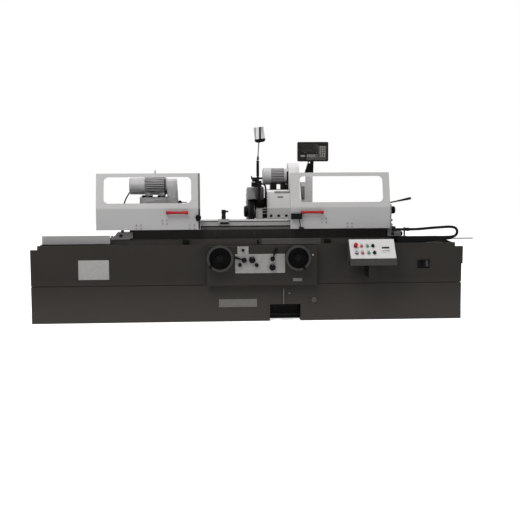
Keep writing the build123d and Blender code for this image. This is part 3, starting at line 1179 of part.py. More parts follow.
def readout_box():
    y = middle(READOUT_COLUMN_Y)
    low = READOUT_COLUMN_TOP + SLIDE_GAP
    box_low = READOUT_BOX_Z[0]
    side = [(READOUT_NECK_LOW_X[0], low), (READOUT_NECK_LOW_X[1], low), (READOUT_NECK_HIGH_X[1], box_low),
            (READOUT_NECK_HIGH_X[0], box_low)]
    side_face = Plane.XZ.offset(-y - READOUT_NECK_HALF) * make_face(Polyline(*side, close=True))
    neck = extrude(side_face, 2 * READOUT_NECK_HALF)
    neck -= rod_y((y - READOUT_NECK_HALF, y + READOUT_NECK_HALF), READOUT_NECK_HIGH_X[0] + READOUT_HOLE_DROP,
                  box_low - READOUT_HOLE_DROP, READOUT_NECK_HOLE)
    neck += rod_z((READOUT_COLUMN_TOP - 2 * READOUT_COLUMN_WALL, low), READOUT_PIVOT_X, y, READOUT_PIN)
    half = READOUT_BOX_DEPTH / 2
    case = block(READOUT_BOX_X, (y - half, y + half), READOUT_BOX_Z)
    case = fillet(case.edges().filter_by(Axis.Y), READOUT_ROUND)
    return case + neck


def front_apron():
    apron = block(APRON_X, (APRON_FRONT, BED_FRONT), APRON_Z)
    apron = fillet(apron.edges().filter_by(Axis.Y), APRON_ROUND)
    for x in (TABLE_WHEEL_X, CROSS_WHEEL_X):
        apron -= rod_y((APRON_FRONT, APRON_FRONT + HANDWHEEL_SHAFT_DEPTH), x, HANDWHEEL_Z,
                       HANDWHEEL_SHAFT + RUN_GAP)
    for x, z, _ in CONTROL_PLACES.values():
        apron -= rod_y((APRON_FRONT, APRON_FRONT + CONTROL_DEPTH), x, z, KNOB_SHAFT + RUN_GAP)
    return apron


def valve_panel():
    thick = (PANEL_FRONT, APRON_FRONT)
    panel = block(PANEL_X, thick, PANEL_Z) + block(SMALL_PLATE_X, thick, (PANEL_Z[1], SMALL_PLATE_TOP))
    for x, z, _ in CONTROL_PLACES.values():
        panel -= rod_y(thick, x, z, KNOB_SHAFT + RUN_GAP)
    return panel


def control_knob(name):
    x, z, radius = CONTROL_PLACES[name]
    back = PANEL_FRONT - KNOB_STAND
    knob = rod_y((back - KNOB_DEPTH, back), x, z, radius)
    knob += rod_y((back, APRON_FRONT + CONTROL_DEPTH - FREE_GAP), x, z, KNOB_SHAFT)
    if name in CONTROL_LEVERS:
        arm = Vector(CONTROL_LEVERS[name][0], 0, CONTROL_LEVERS[name][1])
        start = Vector(x, back - KNOB_DEPTH / 2, z)
        knob += Plane(origin=start, z_dir=arm) * Cylinder(
            KNOB_SHAFT, arm.length, align=(Align.CENTER, Align.CENTER, Align.MIN))
        knob += Plane(origin=start + arm, z_dir=arm) * Sphere(CONTROL_BALL)
    return knob


def handwheel(x, radius, grip_angle):
    """Dished handwheel with its shaft and crank grip; the rim stands forward of the web."""
    web_back = APRON_FRONT - HANDWHEEL_WEB_GAP
    rim_y = (APRON_FRONT - HANDWHEEL_STAND - HANDWHEEL_RIM_DEPTH, APRON_FRONT - HANDWHEEL_STAND)
    inner = radius - HANDWHEEL_RIM
    wheel = rod_y((rim_y[0], web_back), x, HANDWHEEL_Z, inner + HANDWHEEL_WEB)
    wheel += rod_y(rim_y, x, HANDWHEEL_Z, radius)
    wheel -= rod_y((rim_y[0], web_back - HANDWHEEL_WEB), x, HANDWHEEL_Z, inner)
    wheel += rod_y((rim_y[1], web_back), x, HANDWHEEL_Z, HANDWHEEL_HUB)
    wheel += rod_y((web_back, APRON_FRONT + HANDWHEEL_SHAFT_DEPTH - FREE_GAP), x, HANDWHEEL_Z, HANDWHEEL_SHAFT)
    turn = radians(grip_angle)
    grip_radius = radius - HANDWHEEL_RIM / 2
    grip_x = x + grip_radius * cos(turn)
    grip_z = HANDWHEEL_Z + grip_radius * sin(turn)
    wheel += rod_y((rim_y[0] - GRIP_LENGTH, rim_y[0]), grip_x, grip_z, GRIP_RADIUS)
    return wheel


def reverse_lever():
    plate_back = LOWER_TABLE_FRONT - DOG_RAIL_DEPTH - DOG_DEPTH / 2
    plate_y = (plate_back - REVERSE_THICKNESS, plate_back)
    lever = rod_y((BED_FRONT + FREE_GAP, plate_y[1]), REVERSE_X, REVERSE_Z, REVERSE_SHAFT)
    lever += rod_y((BED_FRONT + RIM_WALL + FREE_GAP, plate_y[1]), REVERSE_X, REVERSE_Z, REVERSE_BOSS)
    half = REVERSE_WIDTH / 2
    return lever + block((REVERSE_X - half, REVERSE_X + half), plate_y,
                         (REVERSE_Z, REVERSE_Z + REVERSE_HEIGHT))


def console_outline(inset):
    """The console's side, drawn in by an inset on every face."""
    slope = Vector(CONSOLE_RUN, CONSOLE_TOP - CONSOLE_SKIRT, 0)
    shift_y = inset * slope.length / slope.Y
    front = CONSOLE_FRONT + inset
    back = CONSOLE_BACK - inset
    top = CONSOLE_TOP - inset
    grade = slope.Y / slope.X
    skirt = CONSOLE_SKIRT + grade * (inset - shift_y)
    crest = CONSOLE_FRONT + shift_y + (top - CONSOLE_SKIRT) / grade
    low = CONSOLE_LOW + inset
    return [(front, low), (front, skirt), (crest, top), (back, top), (back, low)]


def console_plane(column, row):
    """A plane on the console's sloping face, its normal pointing out."""
    x = CONSOLE_X[0] + column
    rise = CONSOLE_TOP - CONSOLE_SKIRT
    origin = (x, CONSOLE_FRONT + row * CONSOLE_RUN, CONSOLE_SKIRT + row * rise)
    return Plane(origin=origin, x_dir=(1, 0, 0), z_dir=(0, -rise, CONSOLE_RUN))


def up_from(base, radius, height):
    return Pos(0, 0, base) * Cylinder(radius, height, align=(Align.CENTER, Align.CENTER, Align.MIN))


def console_box():
    box = prism_x(console_outline(0), CONSOLE_X)
    box -= prism_x(console_outline(CONSOLE_WALL), (CONSOLE_X[0] + CONSOLE_WALL, CONSOLE_X[1] - CONSOLE_WALL))
    for column, row, *_ in CONSOLE_BUTTONS.values():
        box -= console_plane(column, row) * up_from(-2 * CONSOLE_WALL, BUTTON_STEM + RUN_GAP, 4 * CONSOLE_WALL)
    box += block(ARM_X, (ARM_FRONT, BED_FRONT), ARM_Z)
    return box + block(ARM_X, (ARM_FRONT, ARM_FRONT + ARM_POST), (ARM_Z[1], CONSOLE_LOW))


def console_panel():
    middle_row = console_plane((CONSOLE_X[1] - CONSOLE_X[0]) / 2, 0.5)
    slope = hypot(CONSOLE_RUN, CONSOLE_TOP - CONSOLE_SKIRT)
    plate = Box(CONSOLE_X[1] - CONSOLE_X[0] - 2 * CONSOLE_MARGIN, slope - 2 * CONSOLE_MARGIN, CONSOLE_PANEL,
                align=(Align.CENTER, Align.CENTER, Align.MIN))
    panel = middle_row * plate
    for column, row, *_ in CONSOLE_BUTTONS.values():
        panel -= console_plane(column, row) * up_from(0, BUTTON_STEM + RUN_GAP, CONSOLE_PANEL)
    return panel


def console_button(name):
    """A button on its stem; the cap stands off the panel by its travel."""
    column, row, radius, rise, stand = CONSOLE_BUTTONS[name]
    cap_base = CONSOLE_PANEL + stand
    button = up_from(cap_base, radius, rise)
    button = fillet(button.edges().group_by(Axis.Z)[-1], rise / 4)
    button += up_from(-STEM_INSIDE, BUTTON_STEM, STEM_INSIDE + cap_base)
    return console_plane(column, row) * button


def isolator_handle():
    x = middle(ISOLATOR_X)
    z = middle(ISOLATOR_Z)
    back = BED_FRONT + ISOLATOR_DEPTH
    handle = rod_y((back + FREE_GAP - ISOLATOR_DEPTH / 2, back - FREE_GAP), x, z, ISOLATOR_KNOB)
    handle += rod_y((back - FREE_GAP, back + ISOLATOR_SHAFT_DEPTH - FREE_GAP), x, z, ISOLATOR_SHAFT)
    half = ISOLATOR_BAR / 2
    return handle + block((x - half, x + half), (BED_FRONT - ISOLATOR_PROUD, back - FREE_GAP),
                          (z - ISOLATOR_KNOB, z + ISOLATOR_KNOB))


def foot_pedal():
    pin_y = BED_FRONT + TOE_DEPTH - PEDAL_PIN_BACK
    half_wall = BED_WALL / 2
    pedal = rod_x((TOE_LEFT - half_wall + FREE_GAP, TOE_RIGHT + half_wall - FREE_GAP), pin_y, PEDAL_PIN_Z,
                  PEDAL_PIN_RADIUS)
    x = (TOE_LEFT + TOE_RIGHT) / 2
    return pedal + block((x - PEDAL_WIDTH / 2, x + PEDAL_WIDTH / 2), (BED_FRONT + PEDAL_FRONT_GAP, pin_y),
                         (PEDAL_PIN_Z - PEDAL_THICKNESS / 2, PEDAL_PIN_Z + PEDAL_THICKNESS / 2))


def hose_tray():
    under = TRAY_FLOOR - TRAY_SHEET
    left, right = TRAY_X
    front = [(left, RIM_TOP), (right - TRAY_TAPER, RIM_TOP), (right, under), (right, TRAY_TOP),
             (left, TRAY_TOP)]
    tray = extrude(Plane.XZ.offset(-TRAY_Y[0]) * make_face(Polyline(*front, close=True)), -TRAY_SHEET)
    tray += block(TRAY_X, TRAY_Y, (under, TRAY_FLOOR))
    tray += block(TRAY_X, (TRAY_Y[1] - TRAY_SHEET, TRAY_Y[1]), (under, TRAY_BACK_TOP))
    # Gland that the hose goes into
    half = LOOP_RADIUS + GLAND_WALL
    tray += block((LOOP_END_X - GLAND_LENGTH, LOOP_END_X), (LOOP_Y - half, LOOP_Y + half),
                  (TRAY_FLOOR, LOOP_LOW_Z + half))
    return tray


def dresser():
    y = (UPPER_FRONT, RAIL_BACK - SLIDE_GAP)
    low = RAIL_TOP + SLIDE_GAP
    base_x = (DRESSER_X - DRESSER_WIDTH / 2, DRESSER_X + DRESSER_WIDTH / 2)
    base_top = low + DRESSER_SADDLE
    tool = block(base_x, (UPPER_FRONT - DRESSER_JAW, y[1]), (low, base_top))
    tool += rod_z((low, DRESSER_TOP), DRESSER_X, middle(y), DRESSER_POST)
    jaw = (UPPER_FRONT - DRESSER_JAW, UPPER_FRONT - SLIDE_GAP)
    tool += block(base_x, jaw, (DRESSER_JAW_LOW, base_top))
    knob_z = DRESSER_TOP - DRESSER_POST
    return tool + rod_x((DRESSER_X, DRESSER_X + DRESSER_KNOB_REACH), middle(y), knob_z, DRESSER_POST / 2)


NODES = {
    "bed_casting": bed_casting,
    "rear_bed": rear_bed,
    "feed_screw": feed_screw,
    "table_cylinder": table_cylinder,
    "table_piston_rod": table_piston_rod,
    "lower_table": lower_table,
    "way_covers": way_covers,
    "left_trip_dog": lambda: trip_dog(DOG_LEFT_X),
    "right_trip_dog": lambda: trip_dog(DOG_RIGHT_X),
    "upper_table": upper_table,
    "door_rail": door_rail,
    "left_door": lambda: door(LEFT_DOOR, LEFT_FRAME, LEFT_RUNNER_INSET),
    "right_door": lambda: door(RIGHT_DOOR, RIGHT_FRAME, RUNNER_INSET),
    "left_window": lambda: window_pane(LEFT_DOOR, LEFT_FRAME),
    "right_window": lambda: window_pane(RIGHT_DOOR, RIGHT_FRAME),
    "workhead_body": workhead_body,
    "workhead_motor": workhead_motor,
    "work_spindle": work_spindle,
    "work_rotor": work_rotor,
    "tailstock_body": tailstock_body,
    "tailstock_quill": tailstock_quill,
    "quill_lever": quill_lever,
    "wheel_slide": wheel_slide,
    "wheelhead_cover": wheelhead_cover,
    "wheel_guard": wheel_guard,
    "coolant_valve": coolant_valve,
    "coolant_hose": lambda: hose(COOLANT_ROUTE, HOSE_RADIUS, "coolant hose"),
    "grinding_wheel": grinding_wheel,
    "wheel_spindle": wheel_spindle,
    "wheel_motor": wheel_motor,
    "wheel_rotor": wheel_rotor,
    "drive_belts": drive_belts,
    "belt_cover": belt_cover,
    "lamp_post": lamp_post,
    "lamp_arm": lamp_arm,
    "lamp_head": lamp_head,
    "readout_column": readout_column,
    "readout_box": readout_box,
    "front_apron": front_apron,
    "valve_panel": valve_panel,
    "table_handwheel": lambda: handwheel(TABLE_WHEEL_X, TABLE_WHEEL_RADIUS, TABLE_GRIP_ANGLE),
    "cross_handwheel": lambda: handwheel(CROSS_WHEEL_X, CROSS_WHEEL_RADIUS, CROSS_GRIP_ANGLE),
    "reverse_lever": reverse_lever,
    "console_box": console_box,
    "console_panel": console_panel,
    "isolator_handle": isolator_handle,
    "foot_pedal": foot_pedal,
    "hose_tray": hose_tray,
    "table_hose": lambda: hose(LOOP_ROUTE, LOOP_RADIUS, "table hose"),
    "dresser": dresser,
}

os.makedirs("parts", exist_ok=True)
for node, make in NODES.items():
    export_step(make(), f"parts/{node}.step")
for name in CONTROL_PLACES:
    export_step(control_knob(name), f"parts/{name}.step")
for name in CONSOLE_BUTTONS:
    export_step(console_button(name), f"parts/{name}.step")
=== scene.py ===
# %% [markdown]
# # A long-bed cylindrical grinder
# The machine grinds round work between two centres. Its solids come from CAD, so this file never moves
# them. It gives each one a finish, adds the small fittings that CAD leaves out, and sets up a plain
# studio that looks at the machine from where the photographer stood.

from math import atan2, cos, pi, radians, sin

import bmesh
import bpy
from mathutils import Matrix, Vector


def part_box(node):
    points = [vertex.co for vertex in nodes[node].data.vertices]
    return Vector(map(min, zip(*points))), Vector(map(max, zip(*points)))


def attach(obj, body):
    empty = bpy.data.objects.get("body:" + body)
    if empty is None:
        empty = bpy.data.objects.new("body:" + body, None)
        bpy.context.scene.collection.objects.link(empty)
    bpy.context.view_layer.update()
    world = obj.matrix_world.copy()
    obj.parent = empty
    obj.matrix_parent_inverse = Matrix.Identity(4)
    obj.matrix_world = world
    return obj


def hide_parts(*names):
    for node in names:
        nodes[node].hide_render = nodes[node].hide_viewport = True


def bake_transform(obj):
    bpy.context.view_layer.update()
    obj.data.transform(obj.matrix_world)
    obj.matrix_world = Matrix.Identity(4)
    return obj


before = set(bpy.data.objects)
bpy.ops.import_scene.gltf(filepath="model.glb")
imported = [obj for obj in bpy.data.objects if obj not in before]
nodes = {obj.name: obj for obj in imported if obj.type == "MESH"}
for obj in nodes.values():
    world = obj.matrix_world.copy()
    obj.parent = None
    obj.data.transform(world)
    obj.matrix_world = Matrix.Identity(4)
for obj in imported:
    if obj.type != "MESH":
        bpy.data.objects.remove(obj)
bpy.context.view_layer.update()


def rounded(*places):
    return [round(value, 3) for place in places for value in place]


def add_object(name, data):
    thing = bpy.data.objects.new(name, data)
    bpy.context.scene.collection.objects.link(thing)
    return thing


# %% [markdown]
# ## The camera
# The photograph was taken from well back and a little to the left, so the bed's long lines stay nearly
# level. A long lens from the same place repeats that flat look. The place and the turn come from fitting
# the bed's corners, the doors and the readout to the picture.

# %% Set up the camera
CAMERA_PLACE = Vector((-0.5387, -10.3401, 1.6982))
CAMERA_YAW = radians(3.723)
CAMERA_PITCH = radians(6.379)
CAMERA_ROLL = radians(-0.195)
SENSOR = 36
LENS = 72.9

lens = bpy.data.cameras.new("camera")
lens.sensor_width = SENSOR
lens.lens = LENS
lens.clip_end = 100
camera = add_object("camera", lens)
turn = Matrix.Rotation(-CAMERA_YAW, 4, "Z") @ Matrix.Rotation(pi / 2 - CAMERA_PITCH, 4, "X")
camera.matrix_world = Matrix.Translation(CAMERA_PLACE) @ turn @ Matrix.Rotation(CAMERA_ROLL, 4, "Z")
bpy.context.scene.camera = camera
print("camera", LENS, "mm at", rounded(CAMERA_PLACE))

# %% [markdown]
# ## Shared surface effects
# Workshop paint is never one colour: oil mist and hands leave soft blotches. The same group can also paint
# light by height: painted shade that darkens towards a surface's foot, or painted floor light that lightens
# it. Ground steel shows fine streaks along the way it was ground. Both effects are used by many finishes,
# so each is a node group with its own inputs, and every material sets its own values.

# %% Node groups for blotches and streaks
COLOUR = "NodeSocketColor"
NUMBER = "NodeSocketFloat"


def start_group(name, inputs):
    group = bpy.data.node_groups.new(name, "ShaderNodeTree")
    for title, value in inputs.items():
        kind = COLOUR if isinstance(value, tuple) else NUMBER
        group.interface.new_socket(title, in_out="INPUT", socket_type=kind).default_value = value
    for title, kind in (("Color", COLOUR), ("Roughness", NUMBER), ("Height", NUMBER)):
        group.interface.new_socket(title, in_out="OUTPUT", socket_type=kind)
    return group, group.nodes.new("NodeGroupInput").outputs, group.nodes.new("NodeGroupOutput").inputs


def set_inputs(node, values):
    for title, value in values.items():
        node.inputs[title].default_value = value


def add_node(tree, kind, values=None, **settings):
    node = tree.nodes.new("ShaderNode" + kind)
    for title, value in settings.items():
        setattr(node, title, value)
    set_inputs(node, values or {})
    return node


def mix_colours(tree, factor, first, second):
    mix = add_node(tree, "Mix", data_type="RGBA")
    for socket, title in ((factor, "Factor"), (first, "A"), (second, "B")):
        tree.links.new(socket, mix.inputs[title])
    return mix.outputs["Result"]


def blotch_group():
    group, given, put = start_group(
        "paint_blotches",
        {"Clean": (0.5, 0.5, 0.5, 1), "Soiled": (0.3, 0.3, 0.3, 1), "Size": 6, "Share": 0.4, "Gloss": 0.4,
         "Gloss Spread": 0.15, "Painted Light": (0, 0, 0, 1), "Painted Light Share": 0, "Painted Light Low": 0, "Painted Light High": 1})
    link = group.links.new
    place = add_node(group, "TexCoord").outputs["Object"]
    broad = add_node(group, "TexNoise", {"Detail": 6})
    link(place, broad.inputs["Vector"])
    link(given["Size"], broad.inputs["Scale"])
    spread = add_node(group, "MapRange", {"From Min": 0.35, "From Max": 0.7})
    link(broad.outputs["Fac"], spread.inputs["Value"])
    link(given["Share"], spread.inputs["To Max"])
    paint = mix_colours(group, spread.outputs["Result"], given["Clean"], given["Soiled"])
    # Painted shade or painted floor light by height: the colour turns towards a second colour from the high
    # mark down to the low mark.
    split = add_node(group, "SeparateXYZ")
    link(place, split.inputs["Vector"])
    painted_light_fall = add_node(group, "MapRange")
    link(split.outputs["Z"], painted_light_fall.inputs["Value"])
    for title, socket in (("Painted Light High", "From Min"), ("Painted Light Low", "From Max"), ("Painted Light Share", "To Max")):
        link(given[title], painted_light_fall.inputs[socket])
    link(mix_colours(group, painted_light_fall.outputs["Result"], paint, given["Painted Light"]), put["Color"])
    shine = add_node(group, "Math", operation="MULTIPLY_ADD")
    link(broad.outputs["Fac"], shine.inputs[0])
    link(given["Gloss Spread"], shine.inputs[1])
    link(given["Gloss"], shine.inputs[2])
    link(shine.outputs[0], put["Roughness"])
    peel = add_node(group, "TexNoise", {"Scale": 420})
    link(place, peel.inputs["Vector"])
    link(peel.outputs["Fac"], put["Height"])
    return group


def streak_group():
    group, given, put = start_group(
        "ground_streaks",
        {"Bright": (0.6, 0.6, 0.6, 1), "Dull": (0.4, 0.4, 0.4, 1), "Along": 3, "Across": 500})
    link = group.links.new
    scale = add_node(group, "CombineXYZ")
    for title, axis in (("Along", "X"), ("Across", "Y"), ("Across", "Z")):
        link(given[title], scale.inputs[axis])
    stretch = add_node(group, "VectorMath", operation="MULTIPLY")
    link(add_node(group, "TexCoord").outputs["Object"], stretch.inputs[0])
    link(scale.outputs["Vector"], stretch.inputs[1])
    grain = add_node(group, "TexNoise", {"Scale": 1, "Detail": 4})
    link(stretch.outputs["Vector"], grain.inputs["Vector"])
    level = grain.outputs["Fac"]
    link(mix_colours(group, level, given["Bright"], given["Dull"]), put["Color"])
    shine = add_node(group, "MapRange", {"To Min": 0.28, "To Max": 0.5})
    link(level, shine.inputs["Value"])
    link(shine.outputs["Result"], put["Roughness"])
    link(level, put["Height"])
    return group


BLOTCHES = blotch_group()
STREAKS = streak_group()
print("groups", BLOTCHES.name, STREAKS.name)

# %% [markdown]
# ## Finishes
# The bed is a dark warm grey enamel, the doors and covers a pale grey, and what slides is bare ground
# steel. Knobs are moulded plastic, the panes are clear, and the wheel is bonded grit. One function joins
# a group to a Principled shader, so that a finish is one short line.

# %% Build the finishes
BUMP_DEPTH = 0.0004
STREAK_BUMP = 0.2
WHITE = (1, 1, 1, 1)


def start_finish(name, values):
    material = bpy.data.materials.new(name)
    material.use_nodes = True
    shader = material.node_tree.nodes["Principled BSDF"]
    set_inputs(shader, values)
    return material, shader


def use_group(name, group, values, bump, shine):
    material, shader = start_finish(name, shine)
    tree = material.node_tree
    effect = add_node(tree, "Group", values, node_tree=group)
    relief = add_node(tree, "Bump", {"Strength": bump, "Distance": BUMP_DEPTH})
    link = tree.links.new
    link(effect.outputs["Color"], shader.inputs["Base Color"])
    link(effect.outputs["Roughness"], shader.inputs["Roughness"])
    link(effect.outputs["Height"], relief.inputs["Height"])
    link(relief.outputs["Normal"], shader.inputs["Normal"])
    return material


def grey(level, warm=0.0):
    return (level * (1 + warm), level, level * (1 - warm), 1)


def painted(name, clean, soiled, size, share=0.5, gloss=0.4, bump=0.25, specular=0.5, film=None):
    values = {"Clean": clean, "Soiled": soiled, "Size": size, "Share": share, "Gloss": gloss}
    # The optional painted light: colour, share, low and high marks of a painted shade or floor light that
    # grows towards the foot.
    if film:
        values.update(zip(("Painted Light", "Painted Light Share", "Painted Light Low", "Painted Light High"), film))
    return use_group(name, BLOTCHES, values, bump, {"Specular IOR Level": specular})


def enamel(name, clean, soiled, warm, **look):
    """Paint whose clean and soiled greys share one warmth."""
    return painted(name, grey(clean, warm), grey(soiled, warm), **look)


def ground(name, bright, dull, warm, along=3, across=500):
    values = {"Bright": grey(bright, warm), "Dull": grey(dull, warm), "Along": along, "Across": across}
    return use_group(name, STREAKS, values, STREAK_BUMP, {"Metallic": 1})


# Painted floor light: the bed's enamel turns lighter towards the floor, for the light the floor throws up.
PAINTED_FLOOR_LIGHT = (grey(0.07, 0.1), 0.42, 0, 0.42)
BED_PAINT = enamel("bed_enamel", 0.019, 0.014, 0.13, size=2.2, gloss=0.42, specular=0.1, film=PAINTED_FLOOR_LIGHT)
LOWER_PAINT = enamel("lower_enamel", 0.042, 0.026, 0.1, size=3, specular=0.12)
SCALE_PAINT = enamel("scale_enamel", 0.078, 0.06, 0.08, size=9, specular=0.15)
TABLE_PAINT = enamel("table_enamel", 0.012, 0.007, 0.12, size=6, specular=0.1)
BRACKET_PAINT = enamel("bracket_enamel", 0.16, 0.12, 0.02, size=9, gloss=0.45, specular=0.2)
# Painted shade: the door enamel darkens below the crease, so the lower panel looks less lit than the upper
# one that leans back.
DOOR_PAINT = enamel("door_enamel", 0.36, 0.33, 0.01, size=2.5, gloss=0.42, specular=0.3,
                    film=(grey(0.24), 0.4, 1.065, 1.085))
HEAD_PAINT = enamel("head_enamel", 0.54, 0.46, 0.02, size=7, gloss=0.42)
SLIDE_PAINT = enamel("slide_enamel", 0.41, 0.34, 0.02, size=7, gloss=0.42)
CAST_PAINT = enamel("cast_enamel", 0.62, 0.52, 0.02, size=7, gloss=0.42)
# Painted shade: both motors and the work head's body darken towards their undersides, as if lit from above.
WORK_MOTOR = enamel("work_motor", 0.31, 0.24, 0.01, size=9, share=0.6, gloss=0.45,
                    film=(grey(0.03), 0.6, 1.19, 1.33))
DRIVE_MOTOR = enamel("drive_motor", 0.41, 0.35, 0.01, size=9, share=0.6, gloss=0.45,
                     film=(grey(0.02), 0.85, 1.265, 1.35))
WORK_PAINT = enamel("work_enamel", 0.37, 0.31, 0.01, size=9, gloss=0.45, specular=0.3,
                    film=(grey(0.04), 0.36, 1.24, 1.31))
RIB_SHADE = enamel("rib_shade", 0.07, 0.045, 0.02, size=9, gloss=0.6, specular=0.1)
MID_PAINT = enamel("tail_enamel", 0.25, 0.17, 0.02, size=8, gloss=0.45)
GUARD_AND_EDGE_SHADE = enamel("guard_enamel_and_edge_shade", 0.1, 0.075, 0.02, size=8, gloss=0.45, specular=0.25)
COVER_PAINT = enamel("cover_enamel", 0.28, 0.23, 0.01, size=3, specular=0.3)
CONSOLE_PAINT = enamel("console_enamel", 0.034, 0.025, 0.04, size=8, specular=0.15)
# Black paint for dark parts; the same finish also paints shade into recesses, grooves and gaps.
DARK_PAINT = painted("black_paint_and_shade", grey(0.004), grey(0.008, 0.05), size=20, specular=0.08)
DARK_SHADE = enamel("wheel_enamel", 0.003, 0.006, 0, size=20, gloss=0.55, specular=0.05)
RIM_PAINT = enamel("rim_enamel", 0.024, 0.017, 0.03, size=20, gloss=0.35, specular=0.2)
PANEL_FACE = enamel("panel_face", 0.22, 0.17, 0.02, size=30, bump=0.1, specular=0.3)
CONSOLE_FACE = enamel("console_face", 0.45, 0.41, 0.01, size=20, gloss=0.38, bump=0.1)
PLATE_FACE = enamel("plate_face", 0.115, 0.085, 0.04, size=30, gloss=0.35, bump=0.1, specular=0.25)
NOTICE_FACE = enamel("notice_face", 0.27, 0.21, 0.02, size=30, gloss=0.35, bump=0.1, specular=0.25)
BLACK_PLASTIC = enamel("black_plastic", 0.0025, 0.005, 0, size=60, gloss=0.36, specular=0.06)
CASE_PLASTIC = enamel("case_plastic", 0.014, 0.01, 0.15, size=60, specular=0.06)
FIELD_PLASTIC = enamel("field_plastic", 0.065, 0.05, 0.06, size=60, specular=0.15)
KEY_PLASTIC = enamel("key_plastic", 0.2, 0.14, 0.05, size=60, specular=0.2)
RED_PLASTIC = painted("red_plastic", (0.28, 0.004, 0.01, 1), (0.2, 0.003, 0.008, 1), size=40, gloss=0.25,
                      specular=0.2)
PUSH_RED = painted("push_red", (0.34, 0.06, 0.055, 1), (0.27, 0.045, 0.04, 1), size=40, gloss=0.25,
                   specular=0.25)
GREEN_PLASTIC = painted("green_plastic", (0.045, 0.18, 0.11, 1), (0.032, 0.13, 0.08, 1), size=40,
                        gloss=0.25, specular=0.25)
RUBBER = enamel("hose_rubber", 0.003, 0.006, 0, size=70, gloss=0.5, bump=0.4, specular=0.08)
GRIT = enamel("bonded_grit", 0.01, 0.006, 0.03, size=900, share=0.9, gloss=0.75, bump=0.9, specular=0.08)
SCREEN = enamel("display_glass", 0.008, 0.011, 0.1, size=30, gloss=0.08, bump=0.02, specular=0.2)
RAIL_STEEL = ground("rail_steel", 0.42, 0.28, 0.02)
RAIL_GREY = enamel("rail_grey", 0.25, 0.19, 0.01, size=9, specular=0.25)
RAIL_BROWN = enamel("rail_brown", 0.07, 0.05, 0.06, size=9, gloss=0.45, specular=0.15)
ROD_STEEL = ground("rod_steel", 0.2, 0.11, 0.02, along=60, across=60)
TURNED_STEEL = ground("turned_steel", 0.4, 0.27, 0, along=300, across=300)
CLEAR = {"Base Color": WHITE, "Roughness": 0.02, "IOR": 1.1, "Transmission Weight": 1}
PANE = start_finish("clear_pane", CLEAR)[0]
print("finishes", len(bpy.data.materials))

# %% [markdown]
# The lamp's shade is polished, and a polished tube mirrors the dark room behind the photographer as one dark
# band down its length. The studio here is white all round, so a ramp across the shade paints that reflection,
# dark band and all, into the shade's colour.

# %% Polished shade with its painted reflection
SHADE_MIDDLE = 0.155
SHADE_HALF = 0.055
SHADE_REFLECTION_RAMP = [(0.0, 0.5), (0.12, 0.22), (0.22, 0.7), (0.4, 0.6), (0.47, 0.02), (0.6, 0.03), (0.68, 0.3),
              (0.9, 0.55), (1.0, 0.25)]

REFLECTION_PAINTED_STEEL, shade_shader = start_finish("lamp_shade_painted_reflection", {"Metallic": 1, "Roughness": 0.2})
shade_tree = REFLECTION_PAINTED_STEEL.node_tree
split = add_node(shade_tree, "SeparateXYZ")
across = add_node(shade_tree, "MapRange", {"From Min": SHADE_MIDDLE - SHADE_HALF,
                                           "From Max": SHADE_MIDDLE + SHADE_HALF})
ramp = add_node(shade_tree, "ValToRGB")
stops = ramp.color_ramp.elements
while len(stops) < len(SHADE_REFLECTION_RAMP):
    stops.new(0.5)
for stop, (position, level) in zip(stops, SHADE_REFLECTION_RAMP):
    stop.position = position
    stop.color = grey(level)
link = shade_tree.links.new
link(add_node(shade_tree, "TexCoord").outputs["Object"], split.inputs["Vector"])
link(split.outputs["X"], across.inputs["Value"])
link(across.outputs["Result"], ramp.inputs["Fac"])
link(ramp.outputs["Color"], shade_shader.inputs["Base Color"])
print("shade stops", len(SHADE_REFLECTION_RAMP))

# %% [markdown]
# Each CAD solid keeps its shape and takes one of these finishes.

# %% Dress the CAD solids
NODE_FINISH = {
    BED_PAINT: "bed_casting rear_bed front_apron",
    LOWER_PAINT: "lower_table",
    TABLE_PAINT: "upper_table",
    HEAD_PAINT: "belt_cover",
    SLIDE_PAINT: "wheel_slide readout_column",
    CAST_PAINT: "wheelhead_cover",
    WORK_MOTOR: "workhead_motor",
    DRIVE_MOTOR: "wheel_motor",
    WORK_PAINT: "workhead_body",
    GUARD_AND_EDGE_SHADE: "wheel_guard",
    MID_PAINT: "tailstock_body",
    COVER_PAINT: "way_covers",
    CONSOLE_PAINT: "console_box",
    DOOR_PAINT: "left_door right_door",
    DARK_PAINT: "coolant_valve lamp_post foot_pedal quill_lever reverse_lever left_trip_dog "
                "right_trip_dog dresser",
    DARK_SHADE: "table_handwheel cross_handwheel hose_tray",
    PANEL_FACE: "valve_panel",
    CONSOLE_FACE: "console_panel",
    BLACK_PLASTIC: "left_valve_lever left_valve_knob right_valve_lever right_valve_knob isolator_handle "
                   "mode_selector",
    CASE_PLASTIC: "readout_box",
    RED_PLASTIC: "stop_button",
    PUSH_RED: "wheel_stop_button work_stop_button",
    GREEN_PLASTIC: "wheel_start_button work_start_button",
    RUBBER: "drive_belts table_hose coolant_hose",
    GRIT: "grinding_wheel",
    RAIL_STEEL: "door_rail table_cylinder table_piston_rod",
    ROD_STEEL: "lamp_arm",
    TURNED_STEEL: "feed_screw work_spindle work_rotor tailstock_quill wheel_spindle wheel_rotor",
    REFLECTION_PAINTED_STEEL: "lamp_head",
    PANE: "left_window right_window",
}
for finish, names in NODE_FINISH.items():
    for name in names.split():
        mesh = nodes[name].data
        mesh.materials.clear()
        mesh.materials.append(finish)
bare = [name for name in nodes if name not in " ".join(NODE_FINISH.values()).split()]
print("nodes without a finish", bare)

# %% [markdown]
# Some castings wear two finishes. A small helper gives the faces that pass a test a second finish, so the
# shape stays as it is. Painted shade darkens the gaps between a motor's ribs, the door rail's grooves, the
# toe recess and the isolator's recess. The table's end brackets are grey, and the shroud, the spindle's cap
# and the hose's junction are black.

